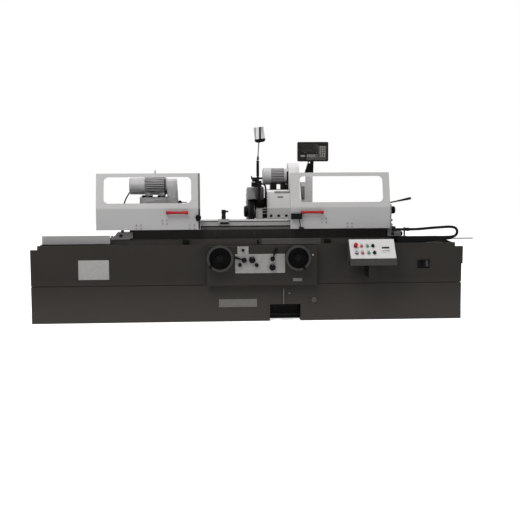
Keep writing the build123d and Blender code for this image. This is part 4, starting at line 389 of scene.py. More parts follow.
# %% Give some faces a second finish
def paint_faces(name, finish, wanted):
    mesh = nodes[name].data
    mesh.materials.append(finish)
    index = len(mesh.materials) - 1
    chosen = [face for face in mesh.polygons if wanted(face.center)]
    for face in chosen:
        face.material_index = index
    print(name, finish.name, len(chosen), "faces")


def near_axis(left, right, y, z, radius):
    return lambda at: left < at.x < right and (at.y - y) ** 2 + (at.z - z) ** 2 < radius ** 2


# Painted shade in the gaps between each motor's ribs.
paint_faces("workhead_motor", RIB_SHADE, near_axis(-0.988, -0.815, 0, 1.277, 0.0785))
paint_faces("wheel_motor", RIB_SHADE, near_axis(0.296, 0.43, 0.7, 1.343, 0.0775))
paint_faces("wheel_motor", DARK_PAINT, lambda at: at.x > 0.296 and at.z < 1.262)
# Painted shade in the toe recess under the bed's front.
paint_faces("bed_casting", DARK_PAINT, lambda at: 0.19 < at.x < 0.5 and -0.412 < at.y < -0.2 and at.z < 0.161)
paint_faces("upper_table", BRACKET_PAINT, lambda at: at.y < -0.2401 or at.x < -1.131)
paint_faces("upper_table", BLACK_PLASTIC, lambda at: at.x < -1.131 and at.z > 0.8463)
paint_faces("door_rail", RAIL_GREY, lambda at: 0.9011 < at.z < 0.9381 and at.y < -0.235)
paint_faces("door_rail", RAIL_BROWN, lambda at: at.z < 0.8891 and at.y < -0.235)
# Painted shade in the door rail's grooves.
paint_faces("door_rail", DARK_PAINT, lambda at: -0.2398 < at.y < -0.229 and at.z < 0.959)
paint_faces("dresser", RAIL_GREY, lambda at: at.z < 0.966)
paint_faces("wheel_guard", DARK_PAINT, lambda at: at.x > 0.045 and at.z < 1.1315)
paint_faces("wheel_spindle", RIM_PAINT, lambda at: at.x < 0.056)
paint_faces("wheel_spindle", DARK_PAINT, lambda at: at.x < 0.041)
paint_faces("lower_table", DARK_PAINT, lambda at: at.y < -0.263)
paint_faces("way_covers", DARK_PAINT, lambda at: at.x > 1)
paint_faces("readout_box", BLACK_PLASTIC, lambda at: at.z < 1.499)
paint_faces("console_box", TABLE_PAINT, lambda at: at.y > -0.67 and at.z < 0.575)
# Painted shade in the isolator's recess.
paint_faces("bed_casting", DARK_PAINT,
            lambda at: 1.618 < at.x < 1.74 and 0.492 < at.z < 0.576 and -0.4195 < at.y < -0.38)

# %% [markdown]
# ## The two hoses
# The table's hydraulic hose leaves a bracket on the table, runs out level, turns back in a tight loop and
# lies in a tray on the bed. The coolant hose drops from its valve to the spindle housing. A hose is a
# smooth line with thickness, so each is one NURBS spline through the route that the CAD tube follows.

# %% Lay the hoses
HOSE_ROUTE = [(1.524, -0.36, 0.862), (1.6332, -0.36, 0.862), (1.7424, -0.361, 0.873), (1.8558, -0.36, 0.88),
              (1.944, -0.36, 0.885), (1.994, -0.361, 0.877), (2.017, -0.361, 0.8535), (2.017, -0.361, 0.8185),
              (1.997, -0.36, 0.7935), (1.954, -0.36, 0.7845), (1.87228, -0.361, 0.7835),
              (1.7724, -0.36, 0.7841), (1.66798, -0.361, 0.7835), (1.58626, -0.36, 0.7835),
              (1.5, -0.36, 0.7835)]
HOSE_THICK = 0.026
COOLANT_ROUTE = [(0.174, 0.345, 1.278), (0.198, 0.345, 1.278), (0.215, 0.349, 1.254), (0.219, 0.357, 1.2),
                 (0.218, 0.368, 1.13), (0.214, 0.388, 1.078), (0.214, 0.388, 1.04205)]
COOLANT_THICK = 0.018


def read_line(curve, thickness):
    """The curve as a mesh of the given thickness; with none, only its middle line is left."""
    curve.data.bevel_depth = thickness / 2
    bpy.context.view_layer.update()
    return bpy.data.meshes.new_from_object(curve.evaluated_get(bpy.context.evaluated_depsgraph_get()))


def lay_cord(name, route, thick):
    """A smooth tube along a route: the piece, its middle line and its length."""
    line = bpy.data.curves.new(name, "CURVE")
    line.dimensions = "3D"
    line.bevel_resolution = 5
    line.use_fill_caps = True
    spline = line.splines.new("NURBS")
    spline.points.add(len(route) - 1)
    for point, place in zip(spline.points, route):
        point.co = (*place, 1)
    spline.order_u = 3
    spline.use_endpoint_u = True
    spline.resolution_u = 10
    line.materials.append(RUBBER)
    curve = add_object(name + "_route", line)
    points = [vert.co.copy() for vert in read_line(curve, 0).vertices]
    length = sum((after - before).length for before, after in zip(points, points[1:]))
    tube = read_line(curve, thick)
    tube.shade_smooth()
    bpy.data.objects.remove(curve)
    cord = add_object(name, tube)
    print(name, "length", round(length, 4))
    return cord, [tuple(point) for point in points], length


def hanging_cord(name, route, thick, body):
    cord, points, length = lay_cord(name, route, thick)
    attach(cord, body)
    return cord


coolant_hose = hanging_cord("coolant_hose_line", COOLANT_ROUTE, COOLANT_THICK, "wheelhead")
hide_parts("coolant_hose")

# %% [markdown]
# The table's hose has one end on the table and the other on the bed, so it has to give when the table
# slides. Here it is one tube laid along its route and fixed in place, and the CAD tube is hidden.

table_hose, hose_points, hose_length = lay_cord("table_hose_line", HOSE_ROUTE, HOSE_THICK)
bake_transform(table_hose)
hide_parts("table_hose")

# %% [markdown]
# ## Tools for small fittings
# Almost every fitting is either a block with eased edges or something turned on a lathe. One helper starts
# from a cube and bevels it. The other spins a half outline round a line, as a lathe does. A third closes
# the mesh, smooths it and lets it ride on the body it is bolted to. Short forms make a whole piece at once.

# %% Helpers for blocks and turned pieces
SMOOTH_LIMIT = radians(35)
SLOT_FINISHES = {
    "bed_paint": [BED_PAINT], "table_paint": [SCALE_PAINT], "pale_cast": [WORK_MOTOR, DRIVE_MOTOR],
    "mid_paint": [MID_PAINT, GUARD_AND_EDGE_SHADE], "dark_paint": [CONSOLE_PAINT, DARK_PAINT],
    "panel_face": [PANEL_FACE, CONSOLE_FACE, PLATE_FACE, NOTICE_FACE],
    "black_plastic": [BLACK_PLASTIC, FIELD_PLASTIC, KEY_PLASTIC, SCREEN],
    "red_plastic": [RED_PLASTIC], "hose_rubber": [RUBBER], "machined": [TURNED_STEEL],
}
FINISH_SLOT = {finish: slot for slot, finishes in SLOT_FINISHES.items() for finish in finishes}


def eased_block(shape, low, high, ease):
    cube = bmesh.ops.create_cube(shape, size=1)["verts"]
    low, high = Vector(low), Vector(high)
    bmesh.ops.scale(shape, vec=high - low, verts=cube)
    bmesh.ops.translate(shape, vec=(low + high) / 2, verts=cube)
    edges = list({edge for vert in cube for edge in vert.link_edges})
    bmesh.ops.bevel(shape, geom=edges, offset=ease, segments=2, profile=0.5, affect="EDGES", material=-1)


def turned(shape, outline, centre, direction, steps=28):
    """Spin an outline of (radius, height) points about a line through centre."""
    along = Vector(direction).normalized()
    side = along.orthogonal().normalized()
    centre = Vector(centre)
    verts = [shape.verts.new(centre + side * radius + along * height) for radius, height in outline]
    edges = [shape.edges.new(pair) for pair in zip(verts, verts[1:])]
    bmesh.ops.spin(shape, geom=verts + edges, cent=centre, axis=along, angle=2 * pi, steps=steps,
                   use_merge=True)


def make_mesh(name, shape, finish):
    mesh = bpy.data.meshes.new(name)
    shape.to_mesh(mesh)
    shape.free()
    mesh.materials.append(finish)
    return mesh


def fit_piece(name, shape, finish, body, place=None):
    if place is not None:
        bmesh.ops.transform(shape, matrix=place, verts=shape.verts)
    bmesh.ops.remove_doubles(shape, verts=shape.verts, dist=1e-6)
    bmesh.ops.recalc_face_normals(shape, faces=shape.faces)
    mesh = make_mesh(name, shape, finish)
    mesh.shade_smooth()
    mesh.set_sharp_from_angle(angle=SMOOTH_LIMIT)
    piece = add_object(name, mesh)
    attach(piece, body)


def cap_screw(shape, centre, direction, radius):
    """A socket screw's head, with its recess."""
    high = radius * 0.9
    turned(shape, [(0, high * 0.45), (radius * 0.45, high * 0.45), (radius * 0.5, high),
                   (radius * 0.85, high), (radius, high * 0.8), (radius, 0), (0, 0)], centre, direction, 16)


def round_knob(shape, centre, direction, radius, high):
    turned(shape, [(0, high), (radius * 0.8, high), (radius * 0.95, high * 0.88), (radius, high * 0.6),
                   (radius, high * 0.25), (radius * 0.8, 0), (0, 0)], centre, direction)


def fit_blocks(name, finish, body, blocks, place=None):
    """One piece of eased blocks, each given by its low corner, its high corner and its ease."""
    shape = bmesh.new()
    for low, high, ease in blocks:
        eased_block(shape, low, high, ease)
    fit_piece(name, shape, finish, body, place)


def fit_turned(name, finish, body, outline, centre, direction, steps):
    shape = bmesh.new()
    turned(shape, outline, centre, direction, steps)
    fit_piece(name, shape, finish, body)


def fit_screws(name, finish, body, centres, direction, radius, place=None):
    shape = bmesh.new()
    for centre in centres:
        cap_screw(shape, centre, direction, radius)
    fit_piece(name, shape, finish, body, place)


OUT = (0, -1, 0)
LEFT = (-1, 0, 0)
RIGHT = (1, 0, 0)
UP = (0, 0, 1)
print("slots", len(SLOT_FINISHES))

# %% [markdown]
# ## The splash doors
# Each sheet door is pulled along by a red bow handle. Screws in fours hold its runners behind the sheet.
# The left door has a latch knob, and a thin dark strip of painted shade runs down its folded free edge. The
# right one has a switch box with its own short cable.

# %% Door handles, screws and latch
DOOR_FRONT = -0.330
DOOR_CREASE = 1.079
DOOR_LEAN = atan2(0.100, 0.328)
HANDLE_REACH = 0.036
HANDLES = {"left_door": (-0.780, -0.569, 1.039), "right_door": (0.503, 0.722, 1.034)}
SCREW_GROUPS = {"left_door": [(-1.039, 0.904), (-0.792, 0.949), (-0.534, 0.902)],
                "right_door": [(0.729, 0.951), (0.976, 0.906)]}
GROUP_CORNERS = [(side, up) for side in (-0.0215, 0.0215) for up in (-0.0165, 0.0165)]
DOOR_SCREW = 0.0075
HANDLE_END = [(0, 0), (0.012, 0.001), (0.017, 0.008), (0.018, 0.018), (0.014, 0.03)]

for body, (left, right, z) in HANDLES.items():
    handle = bmesh.new()
    wide = right - left
    far_end = [(radius, wide - along) for radius, along in reversed(HANDLE_END)]
    start = (left, DOOR_FRONT - HANDLE_REACH, z)
    turned(handle, HANDLE_END + [(0.0125, wide / 2)] + far_end, start, RIGHT, 20)
    for x in (left + 0.016, right - 0.016):
        turned(handle, [(0, HANDLE_REACH), (0.010, HANDLE_REACH), (0.011, 0.008), (0.016, 0.004), (0.016, 0),
                        (0, 0)], (x, DOOR_FRONT, z - 0.004), OUT, 16)
    fit_piece(body + "_handle", handle, RED_PLASTIC, body)
    centres = [(x + side, DOOR_FRONT, z + up) for x, z in SCREW_GROUPS[body] for side, up in GROUP_CORNERS]
    fit_screws(body + "_screws", MID_PAINT, body, centres, OUT, DOOR_SCREW)
latch = bmesh.new()
eased_block(latch, (-0.492, DOOR_FRONT - 0.01, 0.955), (-0.458, DOOR_FRONT, 0.985), 0.004)
round_knob(latch, (-0.474, DOOR_FRONT - 0.008, 0.990), OUT, 0.028, 0.036)
fit_piece("latch_knob", latch, BLACK_PLASTIC, "left_door")
# Thin dark strips of painted shade along the left door's folded free edge, below and above the crease.
for name, turn, long in (("door_edge_shade_low", pi, 0.203), ("door_edge_shade_high", -DOOR_LEAN, 0.339)):
    place = Matrix.Translation((-0.465, DOOR_FRONT, DOOR_CREASE)) @ Matrix.Rotation(turn, 4, "X")
    fit_blocks(name, GUARD_AND_EDGE_SHADE, "left_door", [((-0.0085, -0.002, 0.002), (0.0085, 0, long), 0.0008)], place)
print("doors with handles", list(HANDLES))

# %% [markdown]
# The switch box tells the machine that the door is shut. Its cable drops to a clip at the door's foot.

# %% Door switch and its cable
SWITCH_CABLE = [(0.492, -0.352, 0.968), (0.492, -0.352, 0.95), (0.494, -0.35, 0.93), (0.497, -0.345, 0.912),
                (0.498, -0.342, 0.9), (0.498, -0.342, 0.888)]
SWITCH_CABLE_THICK = 0.008

fit_blocks("door_switch", BLACK_PLASTIC, "right_door",
           [((0.41, DOOR_FRONT - 0.044, 0.968), (0.515, DOOR_FRONT, 1.022), 0.004),
            ((0.43, DOOR_FRONT - 0.048, 0.975), (0.495, DOOR_FRONT - 0.04, 1.015), 0.002)])
fit_blocks("cable_clip", BLACK_PLASTIC, "right_door",
           [((0.486, DOOR_FRONT - 0.022, 0.876), (0.534, DOOR_FRONT, 0.889), 0.002)])
hanging_cord("switch_cable", SWITCH_CABLE, SWITCH_CABLE_THICK, "right_door")

# %% [markdown]
# ## The work head
# The motor's supply cable leaves a box behind the motor, hangs down past the fan cover and goes into the
# head's end. A small ball lever at the foot of the belt cover slackens the belt. Dark slide rails carry the
# motor's feet, and a thin dark strip paints the shade in the gap between the motor and the belt cover.

# %% Motor cable, terminal box and belt lever
MOTOR_CABLE = [(-0.955, 0.112, 1.3), (-0.985, 0.112, 1.3), (-1.05, 0.106, 1.296), (-1.11, 0.09, 1.262),
               (-1.15, 0.07, 1.2), (-1.185, 0.05, 1.14), (-1.205, 0.04, 1.07), (-1.205, 0.04, 1.0),
               (-1.17, 0.05, 0.95), (-1.11, 0.07, 0.93), (-1.075, 0.075, 0.93), (-1.04, 0.075, 0.93)]
MOTOR_CABLE_THICK = 0.013
BELT_LEVER = (-0.663, -0.085, 1.122)
BELT_BALL = (-0.648, -0.085, 1.122)
WORK_FEET_AND_GAP_SHADE = [((-1.018, -0.07, 1.168), (-0.914, 0.07, 1.186), 0.002),
             ((-0.866, -0.07, 1.168), (-0.79, 0.07, 1.186), 0.002),
             # A thin dark strip of painted shade in the gap between the motor and the belt cover.
             ((-0.796, -0.09, 1.186), (-0.786, -0.03, 1.35), 0.002)]

box = bmesh.new()
eased_block(box, (-0.955, 0.072, 1.255), (-0.83, 0.14, 1.345), 0.004)
for x in (-0.945, -0.84):
    for z in (1.265, 1.335):
        cap_screw(box, (x, 0.14, z), (0, 1, 0), 0.005)
fit_piece("work_terminal_box", box, WORK_MOTOR, "workhead")
hanging_cord("work_motor_cable", MOTOR_CABLE, MOTOR_CABLE_THICK, "workhead")
glands = bmesh.new()
for centre in (MOTOR_CABLE[0], MOTOR_CABLE[-1]):
    turned(glands, [(0.0068, 0.022), (0.009, 0.022), (0.011, 0.012), (0.013, 0.01), (0.013, 0), (0.0068, 0),
                    (0.0068, 0.022)], centre, LEFT, 16)
fit_piece("work_cable_glands", glands, BLACK_PLASTIC, "workhead")
lever = bmesh.new()
turned(lever, [(0, 0.085), (0.004, 0.083), (0.005, 0.02), (0.005, 0), (0, 0)], BELT_LEVER, RIGHT, 12)
bmesh.ops.create_uvsphere(lever, u_segments=16, v_segments=10, radius=0.018,
                          matrix=Matrix.Translation(BELT_BALL))
fit_piece("belt_lever", lever, BLACK_PLASTIC, "workhead")
fit_blocks("work_motor_feet_and_gap_shade", DARK_PAINT, "workhead", WORK_FEET_AND_GAP_SHADE)

# %% [markdown]
# ## The tailstock
# A knob at the tailstock's end sets the spring, and studs with nuts hold the end plate.

# %% Tailstock knob and studs
tail_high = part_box("tailstock_body")[1]
knob = bmesh.new()
round_knob(knob, (tail_high.x, -0.06, 1.031), RIGHT, 0.037, 0.042)
fit_piece("spring_knob", knob, BLACK_PLASTIC, "tailstock")
bolts = bmesh.new()
for z in (0.93, 0.888):
    for y in (-0.06, 0.04):
        turned(bolts, [(0, 0.021), (0.008, 0.021), (0.009, 0.019), (0.009, 0.01), (0.014, 0.01), (0.014, 0),
                       (0, 0)], (tail_high.x, y, z), RIGHT, 16)
fit_piece("tailstock_studs", bolts, MID_PAINT, "tailstock")
print("tailstock end at", round(tail_high.x, 3))

# %% [markdown]
# ## The wheelhead
# Bolts sit in the housing's recesses. Two plates sit on the cover's front, and the drive motor has
# its terminal box behind. A dark plate covers half of the guard's box, and a black one fills the nose's slot.
# The coolant valve stands in a cluster of small black blocks.

# %% Wheelhead plates, bolts and terminal box
cover_low, cover_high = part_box("wheelhead_cover")
guard_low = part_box("wheel_guard")[0]
WHEEL_Y, WHEEL_Z = 0.42, 0.995
RECESS_FLOOR = 0.348
RECESS_Z = 0.953
BOLT_CIRCLE = 0.228
BOLT_TURNS = [pi * index / 6 * 0.75 for index in range(7)]
cover_top, cover_face = cover_high.z, cover_low.y
COVER_PLATES = [((0.305, cover_face - 0.003, cover_top - 0.022), (0.47, cover_face, cover_top), 0.001),
                ((0.335, cover_face - 0.003, cover_top - 0.07),
                 (0.393, cover_face, cover_top - 0.05), 0.001)]
DRIVE_FEET_AND_GAP_SHADE = [((0.289, 0.63, cover_top), (0.352, 0.77, 1.26), 0.002),
              ((0.399, 0.63, cover_top), (0.456, 0.77, 1.26), 0.002),
              # A thin dark strip of painted shade in the gap between the drive motor and the belt cover.
              ((0.456, 0.604, cover_top), (0.4715, 0.66, 1.395), 0.002)]
VALVE_BLOCKS = [((0.078, 0.328, 1.3), (0.15, 0.362, 1.345), 0.003),
                ((0.108, 0.33, 1.27), (0.15, 0.36, 1.302), 0.003),
                ((0.068, 0.334, 1.33), (0.08, 0.356, 1.36), 0.002),
                ((0.148, 0.336, 1.325), (0.185, 0.354, 1.345), 0.003)]

fit_blocks("wheelhead_plate", PANEL_FACE, "wheelhead", COVER_PLATES)
step = (cover_high.x - cover_low.x) / 3
recesses = [(cover_low.x + step * (index + 0.5), RECESS_FLOOR, RECESS_Z) for index in range(3)]
fit_screws("slide_bolts", DARK_PAINT, "wheelhead", recesses, OUT, 0.011)
circle = [(guard_low.x, WHEEL_Y + BOLT_CIRCLE * cos(turn), WHEEL_Z + BOLT_CIRCLE * sin(turn))
          for turn in BOLT_TURNS]
fit_screws("wheelhead_screws", TURNED_STEEL, "wheelhead", circle, LEFT, 0.007)
fit_blocks("drive_terminal_box", DRIVE_MOTOR, "wheelhead",
           [((0.33, 0.77, 1.30), (0.44, 0.835, 1.385), 0.004)])
fit_blocks("drive_motor_feet_and_gap_shade", DARK_PAINT, "wheelhead", DRIVE_FEET_AND_GAP_SHADE)
fit_blocks("guard_half_plate", CONSOLE_PAINT, "wheelhead",
           [((0.104, 0.226, 1.131), (0.1895, 0.23, 1.247), 0.0015)])
fit_blocks("nose_slot_plate", DARK_PAINT, "wheelhead",
           [((0.181, 0.345, 0.934), (0.2305, 0.351, 1.026), 0.0015)])
fit_blocks("valve_blocks", DARK_PAINT, "wheelhead", VALVE_BLOCKS)
fit_blocks("nose_slot_bars", MID_PAINT, "wheelhead",
           [((0.184, 0.342, z), (0.228, 0.345, z + 0.01), 0.001) for z in (0.973, 1.002)])
print("cover", rounded(cover_low, cover_high))

# %% [markdown]
# ## The lamp
# The bright round head has a dark rubber rim round its mouth and a frosted bulb inside. The rim bulges in and
# down: partly a real rim, partly painted shade for the shaded inside of the mouth. Black sleeves cover the
# foot of the arm and the post.

# %% Lamp rim, bulb and sleeves
LAMP_MOUTH = Vector((0.162, 0.359, 1.715))
LAMP_LEAN = radians(-6.5)
LAMP_RADIUS = 0.052
RIM_AND_MOUTH_SHADE_OUTLINE = [(-0.02, -0.013), (-0.016, -0.017), (-0.005, -0.011), (0.003, 0), (0.003, 0.016), (0, 0.018),
               (0, 0), (-0.008, -0.006), (-0.02, -0.013)]
LAMP_DEEP = 0.116
LAMP_PIN = Vector((0.142, 0.43, 1.5))
LAMP_ELBOW = Vector((0.154, 0.43, 1.697))
lamp_up = Vector((sin(LAMP_LEAN), 0, cos(LAMP_LEAN)))
BULB_GLASS = enamel("bulb_glass", 0.75, 0.7, 0, size=40, gloss=0.2, bump=0.05)
FINISH_SLOT[BULB_GLASS] = "lamp_metal"

# Painted shade: the black rim reaches down and in to stand for the shaded inside of the mouth.
fit_turned("lamp_rim_and_mouth_shade", BLACK_PLASTIC, "lamp_head",
           [(LAMP_RADIUS + out, up) for out, up in RIM_AND_MOUTH_SHADE_OUTLINE], LAMP_MOUTH, lamp_up, 40)
fit_turned("lamp_bulb", BULB_GLASS, "lamp_head",
           [(0, 0.012), (0.012, 0.015), (0.022, 0.024), (0.028, 0.04), (0.025, 0.058), (0.015, 0.078),
            (0.013, LAMP_DEEP), (0, LAMP_DEEP)], LAMP_MOUTH, lamp_up, 24)
fit_turned("lamp_arm_sleeve", BLACK_PLASTIC, "lamp_arm",
           [(0.0062, 0.02), (0.0125, 0.02), (0.0125, 0.026), (0.0075, 0.058), (0.0062, 0.058),
            (0.0062, 0.02)], LAMP_PIN, LAMP_ELBOW - LAMP_PIN, 20)
fit_turned("lamp_post_tube", BLACK_PLASTIC, "wheelhead",
           [(0.0112, 0), (0.0145, 0), (0.0145, 0.125), (0.0112, 0.13), (0.0112, 0)],
           (LAMP_PIN.x, LAMP_PIN.y, 1.355), UP, 20)
print("lamp mouth", rounded(LAMP_MOUTH))

# %% [markdown]
# ## The readout
# The operator reads the wheel's place here: a dark display on the left, number keys on the right and a row
# of function keys below, each on a lighter field. The keys are blank, and so is the name plate. The column
# that carries it has a small dark hatch.

# %% Readout display and keys
FACE_Y = 0.474
KEY_TOP = FACE_Y - 0.004
KEY_LOW = 1.545
NUMBER_KEYS = [(0.786 + column * 0.0205, KEY_LOW + row * 0.0235) for column in range(3) for row in range(5)]
ROW_KEYS = [0.655 + column * 0.0175 for column in range(5)]

read_low, read_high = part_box("readout_box")
fit_blocks("readout_screen", SCREEN, "readout",
           [((0.585, FACE_Y - 0.002, 1.585), (0.765, FACE_Y, 1.68), 0.001)])
fit_blocks("readout_fields", FIELD_PLASTIC, "readout",
           [((0.77, FACE_Y - 0.0015, 1.516), (0.851, FACE_Y, 1.66), 0.0006),
            ((0.648, FACE_Y - 0.0015, 1.516), (0.769, FACE_Y, 1.576), 0.0006)])
column_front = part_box("readout_column")[0].y
fit_blocks("column_hatch", PLATE_FACE, "bed",
           [((0.591, column_front - 0.002, 1.11), (0.626, column_front, 1.248), 0.001)])
keys = [((x, KEY_TOP, z), (x + 0.0145, FACE_Y, z + 0.0165), 0.001) for x, z in NUMBER_KEYS]
keys += [((x, KEY_TOP, KEY_LOW), (x + 0.0125, FACE_Y, 1.569), 0.001) for x in ROW_KEYS]
name_plate = ((0.585, FACE_Y - 0.002, 1.547), (0.632, FACE_Y, 1.566), 0.001)
fit_blocks("readout_keys", KEY_PLASTIC, "readout", keys + [name_plate])
print("readout", rounded(read_low, read_high))

# %% [markdown]
# ## The apron
# Both handwheels have a grey rim round a black dish. The CAD mesh keeps its shape, and the faces that lie on
# the rim take their own finish. Small knobs, plate screws and short marks round the big knobs follow.

# %% Handwheel rims
HANDWHEELS = {"table_handwheel": (-0.276, 0.125), "cross_handwheel": (0.458, 0.120)}
HANDWHEEL_Z = 0.619
RIM_WIDTH = 0.0215
RIM_Y = (-0.5785, -0.5515)


def on_rim(at, x, radius):
    reach = Vector((at.x - x, at.z - HANDWHEEL_Z)).length
    return radius - RIM_WIDTH < reach < radius + 0.001 and RIM_Y[0] < at.y < RIM_Y[1]


for name, (x, radius) in HANDWHEELS.items():
    paint_faces(name, RIM_PAINT, lambda at: on_rim(at, x, radius))

# %% Small knobs, marks and screws of the apron
PANEL_FRONT = -0.496
APRON_FRONT = -0.490
SMALL_KNOBS = [(-0.059, 0.690, 0.014), (-0.088, 0.552, 0.018), (0.071, 0.548, 0.018)]
LEVER_GRIPS = {"left_valve_lever": ((-0.086, -0.511, 0.6082), (-0.130, -0.511, 0.6224)),
               "right_valve_lever": ((0.235, -0.511, 0.6457), (0.2555, -0.511, 0.7))}
MARKED_KNOBS = {"left_valve_knob": (0.027, 0.598, 0.034), "right_valve_knob": (0.219, 0.526, 0.034)}
KNOB_FRONT = PANEL_FRONT - 0.027
PANEL_SCREWS = [(x, PANEL_FRONT, z) for x in (-0.122, 0.103, 0.328) for z in (0.482, 0.641)]
MARK_SIZE = (0.009, 0.001, 0.002)
MARK_GAP = 0.006
MARK_TURNS = [radians(-30 + index * 30) for index in range(9)]

knobs = bmesh.new()
for x, z, radius in SMALL_KNOBS:
    round_knob(knobs, (x, PANEL_FRONT, z), OUT, radius, 0.022)
fit_piece("apron_knobs", knobs, BLACK_PLASTIC, "bed")
for name, (start, end) in LEVER_GRIPS.items():
    reach = Vector(end) - Vector(start)
    fit_turned(name + "_grip", BLACK_PLASTIC, name,
               [(0.0062, 0), (0.008, 0.001), (0.0115, reach.length), (0.0062, reach.length), (0.0062, 0)],
               start, reach, 20)
marks = bmesh.new()
for x, z, radius in MARKED_KNOBS.values():
    reach = radius + MARK_GAP
    for turn in MARK_TURNS:
        centre = (x + reach * cos(turn), PANEL_FRONT, z + reach * sin(turn))
        stroke = bmesh.ops.create_cube(marks, size=1)["verts"]
        bmesh.ops.scale(marks, vec=MARK_SIZE, verts=stroke)
        bmesh.ops.rotate(marks, matrix=Matrix.Rotation(-turn, 3, "Y"), verts=stroke)
        bmesh.ops.translate(marks, vec=centre, verts=stroke)
fit_piece("apron_marks", marks, DARK_PAINT, "bed")
for name, (x, z, radius) in MARKED_KNOBS.items():
    fit_blocks(name + "_pointer", KEY_PLASTIC, name,
               [((x - 0.0014, KNOB_FRONT - 0.0006, z + radius * 0.5),
                 (x + 0.0014, KNOB_FRONT + 0.0004, z + radius * 0.85), 0.0003)])
fit_screws("panel_screws", TURNED_STEEL, "bed", PANEL_SCREWS, OUT, 0.0045)
fit_blocks("apron_label", PLATE_FACE, "bed",
           [((0.415, APRON_FRONT - 0.002, 0.390), (0.501, APRON_FRONT, 0.420), 0.0008)])
light = bmesh.new()
round_knob(light, (0.603, APRON_FRONT, 0.639), OUT, 0.010, 0.014)
fit_piece("oil_sight", light, PANEL_FACE, "bed")
print("apron knobs", len(SMALL_KNOBS))

# %% [markdown]
# ## The console
# The sloping face is drawn flat, then turned into place: across, up the slope and out of it. That way its
# knobs, collars and display are made as if the console lay on a bench.

# %% Console knobs, collars and display
CONSOLE_FOOT = Vector((0.933, -0.680, 0.613))
CONSOLE_RUN = 0.160
CONSOLE_RISE = 0.173
CONSOLE_WIDE = 0.439
PANEL_THICK = 0.004
slope = atan2(CONSOLE_RISE, CONSOLE_RUN)
slope_length = (CONSOLE_RUN ** 2 + CONSOLE_RISE ** 2) ** 0.5
console_place = Matrix.Translation(CONSOLE_FOOT) @ Matrix.Rotation(slope, 4, "X")
HIGH_ROW = 0.62 * slope_length
LOW_ROW = 0.28 * slope_length
BUTTON_COLLARS = [(0.119, HIGH_ROW), (0.174, HIGH_ROW), (0.121, LOW_ROW), (0.179, LOW_ROW)]
SPEED_KNOBS = [(0.225, HIGH_ROW), (0.233, LOW_ROW)]
SELECTOR = (0.066, LOW_ROW)
SELECTOR_TOP = 0.02
SCREW_INSET = 0.014
COUNTER_KEYS = (0.312, 0.33, 0.348, 0.366)

collars = bmesh.new()
for x, y in BUTTON_COLLARS:
    turned(collars, [(0.0145, 0), (0.0185, 0), (0.0185, 0.002), (0.0165, 0.0035), (0.0145, 0.0035),
                     (0.0145, 0)], (x, y, PANEL_THICK), UP)
fit_piece("button_collars", collars, TURNED_STEEL, "bed", console_place)
speed = bmesh.new()
for x, y in SPEED_KNOBS:
    round_knob(speed, (x, y, PANEL_THICK), UP, 0.016, 0.018)
fit_piece("console_knobs", speed, BLACK_PLASTIC, "bed", console_place)
fit_blocks("counter_unit", CONSOLE_FACE, "bed",
           [((0.302, 0.078, PANEL_THICK), (0.384, 0.142, PANEL_THICK + 0.005), 0.0015)], console_place)
counter_keys = [((x, 0.09, PANEL_THICK), (x + 0.009, 0.098, PANEL_THICK + 0.0065), 0.0008)
                for x in COUNTER_KEYS]
fit_blocks("console_display", SCREEN, "bed",
           [((0.307, 0.115, PANEL_THICK), (0.379, 0.136, PANEL_THICK + 0.006), 0.0008)] + counter_keys,
           console_place)
fit_blocks("console_labels", KEY_PLASTIC, "bed",
           [((x - 0.014, y + 0.025, PANEL_THICK), (x + 0.014, y + 0.031, PANEL_THICK + 0.001), 0.0003)
            for x, y in BUTTON_COLLARS + SPEED_KNOBS + [SELECTOR]], console_place)
corners = [(x, y, PANEL_THICK) for x in (SCREW_INSET, CONSOLE_WIDE - SCREW_INSET)
           for y in (SCREW_INSET, slope_length - SCREW_INSET)]
fit_screws("console_screws", TURNED_STEEL, "bed", corners, UP, 0.0035, console_place)
fit_blocks("selector_pointer", BLACK_PLASTIC, "mode_selector",
           [((SELECTOR[0] - 0.001, SELECTOR[1] + 0.001, SELECTOR_TOP - 0.0004),
             (SELECTOR[0] + 0.001, SELECTOR[1] + 0.012, SELECTOR_TOP + 0.001), 0.0002)], console_place)
panel_up = console_place.to_3x3() @ Vector(UP)
paint_faces("mode_selector", PANEL_FACE, lambda at: (at - CONSOLE_FOOT).dot(panel_up) > 0.0195)
print("console slope", round(slope * 180 / pi, 1), "degrees")

# %% [markdown]
# ## The bed's face
# Two bare plates, a pull rod above the toe recess, a drain plug, a bolt, a frame and a dial round the
# isolator and a strip down the right end.

# %% Plates and fittings on the bed
BED_FRONT = -0.420
PLATE_THICK = 0.003
PULL_ROD_X = 0.331
BED_PLATES = [("notice_plate", NOTICE_FACE, (-1.605, -1.319, 0.415, 0.600)),
              ("brand_plate", PLATE_FACE, (-0.285, 0.077, 0.138, 0.215))]
ISOLATOR_BARS = [(1.609, 1.749, 0.483, 0.493), (1.609, 1.749, 0.575, 0.585),
                 (1.609, 1.619, 0.493, 0.575), (1.739, 1.749, 0.493, 0.575)]
END_STRIP = ((2.05, -0.42, 0.534), (2.062, -0.39, 0.7), 0.001)

